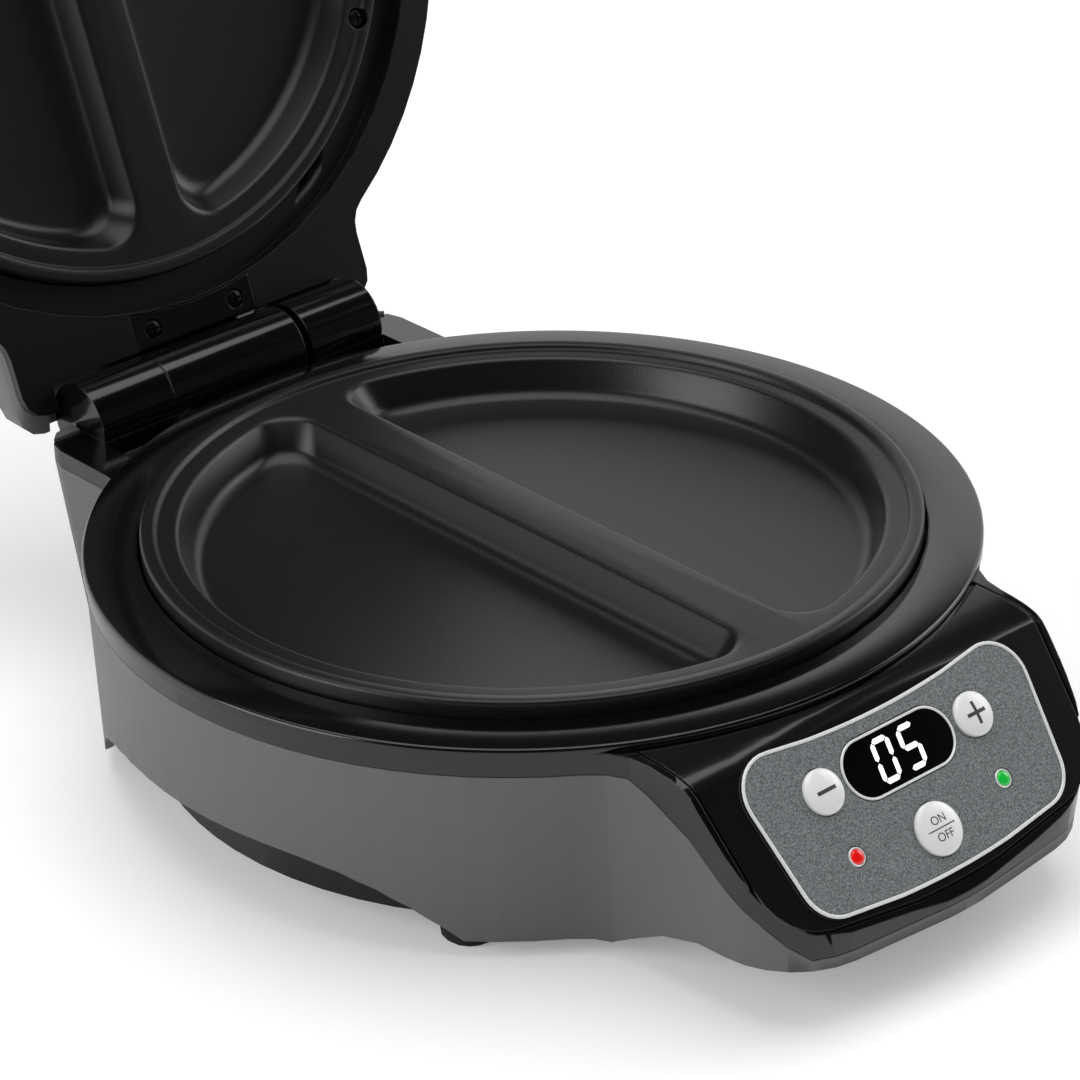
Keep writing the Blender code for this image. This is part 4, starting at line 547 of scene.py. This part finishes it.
def panel_outline(inset):
    """Outline of the overlay and its border: both long edges bow like the deck's seam."""
    corners = []
    for edge, half in ((PANEL_TOP + inset, PANEL_HALF_TOP - inset),
                       (PANEL_BOTTOM - inset, PANEL_HALF_LOW - inset)):
        inner = half - 2 * PANEL_CORNER
        corners.append([(x, edge - x ** 2 / (2 * PANEL_BULGE)) for x in (half, inner)])
        bow = [inner * i / BOW_STEPS for i in range(1, BOW_STEPS + 1)]
        corners[-1].append([(x, edge - x ** 2 / (2 * PANEL_BULGE)) for x in bow])
    (top, top_in, top_bow), (low, low_in, low_bow) = corners
    right = top_bow[:-1] + rounded_corner(top_in, top, low, PANEL_CORNER - inset)
    right += rounded_corner(top, low, low_in, PANEL_CORNER - inset) + list(reversed(low_bow[:-1]))
    left = [(-x, s) for x, s in reversed(right)]
    return [(0, PANEL_TOP + inset)] + right + [(0, PANEL_BOTTOM - inset)] + left


def stadium(grow=0.0):
    """Outline of the display: a bar with round ends."""
    reach = DISPLAY_HALF - DISPLAY_RADIUS
    radius = DISPLAY_RADIUS + grow
    right = arc((reach, DISPLAY_S), radius, -math.pi / 2, math.pi / 2, STADIUM_STEPS)
    return right + arc((-reach, DISPLAY_S), radius, math.pi / 2, 3 * math.pi / 2, STADIUM_STEPS)


def prism(outline, low, high):
    """Flat sheet of an outline between two heights."""
    return lofted([[(x, y, low) for x, y in outline], [(x, y, high) for x, y in outline]])


def softened(item, width, segments=2):
    """Rounds the long edges of a piece."""
    roll = item.modifiers.new("rolled_edge", "BEVEL")
    roll.width = width
    roll.segments = segments
    roll.limit_method = "ANGLE"
    roll.angle_limit = math.radians(EDGE_ANGLE)
    return item


def peg(x, s, radius, low, high):
    """Round cutter through the panel."""
    bm = turned([(0, low), (radius, low), (radius, high), (0, high)], PEG_STEPS)
    bm.transform(Matrix.Translation((x, s, 0)))
    return bm


grey_film = moulded("sand_grained_grey_film", "#6b7071", "#62676a", 0.5, 0.00045, 0.00005, soft=0.0002)
grains = grey_film.node_tree
place = add(grains, "ShaderNodeTexCoord").outputs["Object"]
specks = add(grains, "ShaderNodeTexNoise", {"Vector": place, "Scale": 1 / GRAIN, "Detail": 1.0})
spark = add(grains, "ShaderNodeMapRange", {"Value": specks.outputs["Fac"], "From Min": 0.35,
                                           "From Max": 0.68})
film = add(grains, "ShaderNodeMix", {"Factor": spark.outputs[0], "A": linear("#505556"),
                                     "B": linear("#868b8c")}, data_type="RGBA")
grains.links.new(film.outputs["Result"], grains.nodes["Principled BSDF"].inputs["Base Color"])
cuts = [prism(stadium(GAP), -CUT_REACH, CUT_REACH)]
cuts += [peg(x, s, radius + GAP, -CUT_REACH, CUT_REACH) for name, x, s, radius in BUTTONS]
cuts += [peg(x, LAMP_S, LAMP_RING + GAP, -CUT_REACH, CUT_REACH) for x in (-LAMP_X, LAMP_X)]
overlay = carved(prism(panel_outline(BORDER_WIDTH + FILM_GAP), -GAP - OVERLAY_SHEET, -GAP), cuts)
item = shown("overlay_film", set_on_panel(overlay), grey_film, "base")
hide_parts("panel_overlay")

# Silver trims: the border of the overlay and the ring of the display, ABS with a bright metal finish.
bright_silver = moulded("metallised_silver_abs", "#f0f1f1", "#e6e7e7", 0.28, 0.001, 0.000005,
                        metallic=0.15, soft=0.0002)
TRIM_ROLL = 0.0003
BEZEL_WIDTH = 0.0008
BEZEL_HEIGHT = 0.0009
border = carved(prism(panel_outline(0.0), -GAP - BORDER_HEIGHT, -GAP),
                [prism(panel_outline(BORDER_WIDTH), -CUT_REACH, CUT_REACH)])
item = softened(shown("silver_border", set_on_panel(border), bright_silver, "base"), TRIM_ROLL)
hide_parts("panel_border")
bezel = carved(prism(stadium(), -GAP - BEZEL_HEIGHT, -GAP),
               [prism(stadium(-BEZEL_WIDTH), -CUT_REACH, CUT_REACH)])
item = softened(shown("silver_display_ring", set_on_panel(bezel), bright_silver, "base"), TRIM_ROLL)
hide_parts("display_bezel")

# Display: a black acrylic window with two lit seven-segment figures behind it, here laid on its face.
black_acrylic = moulded("black_acrylic", "#030303", "#040404", 0.06, 0.002, 0.000001, soft=0.0002)
WINDOW_SHEET = 0.0006
WINDOW_GAP = 0.00005
FIGURE_RISE = 0.00004
FIGURE_SINK = 0.0001
FIGURE_GLOW = 0.85
window = prism(stadium(-BEZEL_WIDTH - WINDOW_GAP), -GAP - WINDOW_SHEET, -GAP)
item = shown("display_glass", set_on_panel(window), black_acrylic, "base")
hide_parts("display_window")
lit_white = moulded("lit_white_segment", "#f4f6f8", "#f4f6f8", 0.4, 0.002, 0.000001, soft=0.0001)
shader = lit_white.node_tree.nodes["Principled BSDF"]
shader.inputs["Emission Color"].default_value = linear("#f4f8ff")
shader.inputs["Emission Strength"].default_value = FIGURE_GLOW
DIGIT_HALF_WIDTH = 0.0029
DIGIT_HALF_HEIGHT = 0.0059
STROKE_HALF = 0.00082
SEGMENT_GAP = 0.00022
DIGIT_X = 0.0052
DIGIT_SLANT = 0.12
SEGMENTS = {"top": (0, -1, 0), "upper_right": (1, -0.5, 1), "lower_right": (1, 0.5, 1),
            "bottom": (0, 1, 0), "lower_left": (-1, 0.5, 1), "upper_left": (-1, -0.5, 1),
            "middle": (0, 0, 0)}
FIGURES = (("zero", -1, ("top", "upper_right", "lower_right", "bottom", "lower_left", "upper_left")),
           ("five", 1, ("top", "upper_left", "middle", "lower_right", "bottom")))
for figure, side, lit in FIGURES:
    for name in lit:
        across, down, upright = SEGMENTS[name]
        reach = DIGIT_HALF_HEIGHT / 2 if upright else DIGIT_HALF_WIDTH
        reach -= SEGMENT_GAP
        bar = [(-reach, 0), (-reach + STROKE_HALF, -STROKE_HALF), (reach - STROKE_HALF, -STROKE_HALF),
               (reach, 0), (reach - STROKE_HALF, STROKE_HALF), (-reach + STROKE_HALF, STROKE_HALF)]
        if upright:
            bar = [(y, x) for x, y in bar]
        bar = [(x + across * DIGIT_HALF_WIDTH, y + down * DIGIT_HALF_HEIGHT) for x, y in bar]
        bar = [(x - DIGIT_SLANT * y + side * DIGIT_X, DISPLAY_S + y) for x, y in bar]
        face = -GAP - WINDOW_SHEET
        lit_bar = prism(bar, face - FIGURE_RISE, face + FIGURE_SINK)
        item = shown("figure_" + figure + "_" + name, set_on_panel(lit_bar), lit_white, "base")

# Buttons: domed caps of ABS with a pearl silver coat and dark printed signs, each on its own travel.
pearl_silver = moulded("pearl_silver_coated_abs", "#eff0ef", "#e6e7e6", 0.3, 0.0006, 0.000005,
                       metallic=0.05, coat=0.3, soft=0.0003)
print_grey = moulded("dark_grey_print", "#3c3e40", "#36383a", 0.5, 0.0005, 0.000002, soft=0.00005)
CAP_TOP = 0.0031
CAP_DOME = 0.0015
CAP_FLANGE = 0.0037
CAP_END = 0.0062
CAP_LIP = 0.0012
CAP_LIP_SHEET = 0.0009
CAP_STEM = 0.0017
CAP_STEPS = 64
DOME_STEPS = 14
PRINT = 0.00004
SIGN_HALF = 0.0035
SIGN_THICK = 0.00055
RULE_HALF = 0.0052
RULE_THICK = 0.00018
LETTER_SIZE = 0.0036
ON_PLACE = (0, -0.0024)
OFF_PLACE = (0, 0.0026)


def cap(radius):
    """Domed cap with its flange and stem under the panel."""
    profile = [(0, -CAP_TOP)]
    profile += [(radius * math.sin(t), -CAP_TOP + CAP_DOME * (1 - math.cos(t)))
                for t in [math.pi / 2 * i / DOME_STEPS for i in range(1, DOME_STEPS + 1)]]
    profile += [(radius, CAP_FLANGE), (radius + CAP_LIP, CAP_FLANGE),
                (radius + CAP_LIP, CAP_FLANGE + CAP_LIP_SHEET), (CAP_STEM, CAP_FLANGE + CAP_LIP_SHEET),
                (CAP_STEM, CAP_END), (0, CAP_END)]
    return turned(profile, CAP_STEPS)


def printed(bm, radius):
    """Lays a flat sign drawn round the cap's centre on its dome."""
    bmesh.ops.triangulate(bm, faces=bm.faces)
    bmesh.ops.subdivide_edges(bm, edges=bm.edges, cuts=3, use_grid_fill=True)
    for point in bm.verts:
        share = min(math.hypot(point.co.x, point.co.y) / radius, 0.99)
        point.co.z = point.co.z - CAP_TOP + CAP_DOME * (1 - math.sqrt(1 - share ** 2))
    return bm


def bar_sign(half, thick):
    """Printed bar across the cap's centre."""
    outline = [(-half, -thick), (half, -thick), (half, thick), (-half, thick)]
    return prism(outline, -PRINT, PRINT * 2)


def lettering(text, size, place):
    """Small capitals as a thin mesh, drawn upright for someone in front of the panel."""
    curve = bpy.data.curves.new("lettering", "FONT")
    curve.body = text
    curve.size = size
    curve.align_x = "CENTER"
    curve.align_y = "CENTER"
    curve.extrude = PRINT
    shape = bpy.data.objects.new("lettering", curve)
    bm = bmesh.new()
    scene.collection.objects.link(shape)
    bpy.context.view_layer.update()
    bm.from_mesh(shape.evaluated_get(bpy.context.evaluated_depsgraph_get()).to_mesh())
    bpy.data.objects.remove(shape, do_unlink=True)
    bm.transform(Matrix.Translation((place[0], place[1], 0)) @ Matrix.Rotation(math.pi, 4, "X"))
    bmesh.ops.remove_doubles(bm, verts=bm.verts, dist=MERGE / 2)
    return bm


signs = {"minus": [bar_sign(SIGN_HALF, SIGN_THICK)],
         "plus": [bar_sign(SIGN_HALF, SIGN_THICK), bar_sign(SIGN_THICK, SIGN_HALF)],
         "start": [lettering("ON", LETTER_SIZE, ON_PLACE), lettering("OFF", LETTER_SIZE, OFF_PLACE),
                   bar_sign(RULE_HALF, RULE_THICK)]}
for name, x, s, radius in BUTTONS:
    bm = cap(radius)
    bm.transform(Matrix.Translation((x, s, 0)))
    item = shown("cap_" + name, set_on_panel(bm), pearl_silver, "button_" + name, 30)
    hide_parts("button_" + name)
    for i, sign in enumerate(signs[name]):
        sign = printed(sign, radius)
        sign.transform(Matrix.Translation((x, s, 0)))
        item = shown("sign_" + name + "_" + str(i + 1), set_on_panel(sign), print_grey, "button_" + name)

# Lamps: clear coloured lenses of polycarbonate in pale rings, lit from behind by the board.
LAMP_RADIUS = 0.0022
LAMP_TOP = 0.0017
LAMP_DOME = 0.0008
LAMP_BACK = 0.005
LAMP_STEPS = 40
LAMP_DOME_STEPS = 8
LAMP_GLOW = 0.45
RING_GAP = 0.0001
RING_SIDE = 0.0004
RING_HEIGHT = 0.0007
RING_INNER_HEIGHT = 0.0006
RING_ROLL = 0.0003
for side, x, colour, deep in (("red", -LAMP_X, "#e01414", "#a80606"),
                              ("green", LAMP_X, "#12b53a", "#07701f")):
    lens = moulded("lit_" + side + "_polycarbonate", colour, deep, 0.12, 0.002, 0.000001, coat=0.5)
    shader = lens.node_tree.nodes["Principled BSDF"]
    shader.inputs["Emission Color"].default_value = linear(colour)
    shader.inputs["Emission Strength"].default_value = LAMP_GLOW
    profile = [(LAMP_RADIUS * math.sin(t), -LAMP_TOP + LAMP_DOME * (1 - math.cos(t)))
               for t in [math.pi / 2 * i / LAMP_DOME_STEPS for i in range(LAMP_DOME_STEPS + 1)]]
    bm = turned(profile + [(LAMP_RADIUS, LAMP_BACK), (0, LAMP_BACK)], LAMP_STEPS)
    bm.transform(Matrix.Translation((x, LAMP_S, 0)))
    item = shown("lens_" + side, set_on_panel(bm), lens, "base", 30)
    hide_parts("lamp_" + side)
    hand = "left" if x < 0 else "right"
    ring = [(LAMP_RADIUS + RING_GAP, -GAP), (LAMP_RING, -GAP), (LAMP_RING, -GAP - RING_SIDE),
            (LAMP_RING - RING_ROLL, -GAP - RING_HEIGHT),
            (LAMP_RADIUS + RING_GAP, -GAP - RING_INNER_HEIGHT)]
    bm = turned(ring, LAMP_STEPS)
    bm.transform(Matrix.Translation((x, LAMP_S, 0)))
    item = shown("lens_ring_" + hand, set_on_panel(bm), bright_silver, "base", 30)
    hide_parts("lamp_bezel_" + hand)

# Inside and underneath: pieces whose CAD shape is right get their finish on the node itself.
zinc_steel = moulded("zinc_plated_steel", "#8f9092", "#85878a", 0.32, 0.001, 0.00001, metallic=1.0)
aluminised = moulded("aluminised_sheet_steel", "#a7a7a3", "#9c9c98", 0.36, 0.0015, 0.00001, metallic=1.0)
oxidised = moulded("oxidised_tube_steel", "#4d4a45", "#3f3c38", 0.5, 0.0012, 0.00002, metallic=0.9)
white_plastic = moulded("moulded_white_polyamide", "#c9c8c2", "#c1c0ba", 0.55, 0.0006, 0.00001)
board_green = moulded("glass_epoxy_board", "#1f5b33", "#1b522e", 0.45, 0.0012, 0.00001)
finishes = {"cord_gland": satin_black, "display_module": white_plastic, "control_board": board_green,
            "thermostat": white_plastic, "hinge_pin": zinc_steel, "lower_heat_shield": aluminised,
            "upper_heat_shield": aluminised, "lower_heating_element": oxidised,
            "upper_heating_element": oxidised}
for name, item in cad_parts.items():
    finish = finishes.get(name)
    if "screw" in name:
        finish = zinc_steel
    if name.startswith("tact_switch"):
        finish = satin_black
    if finish:
        item.data.materials.clear()
        item.data.materials.append(finish)
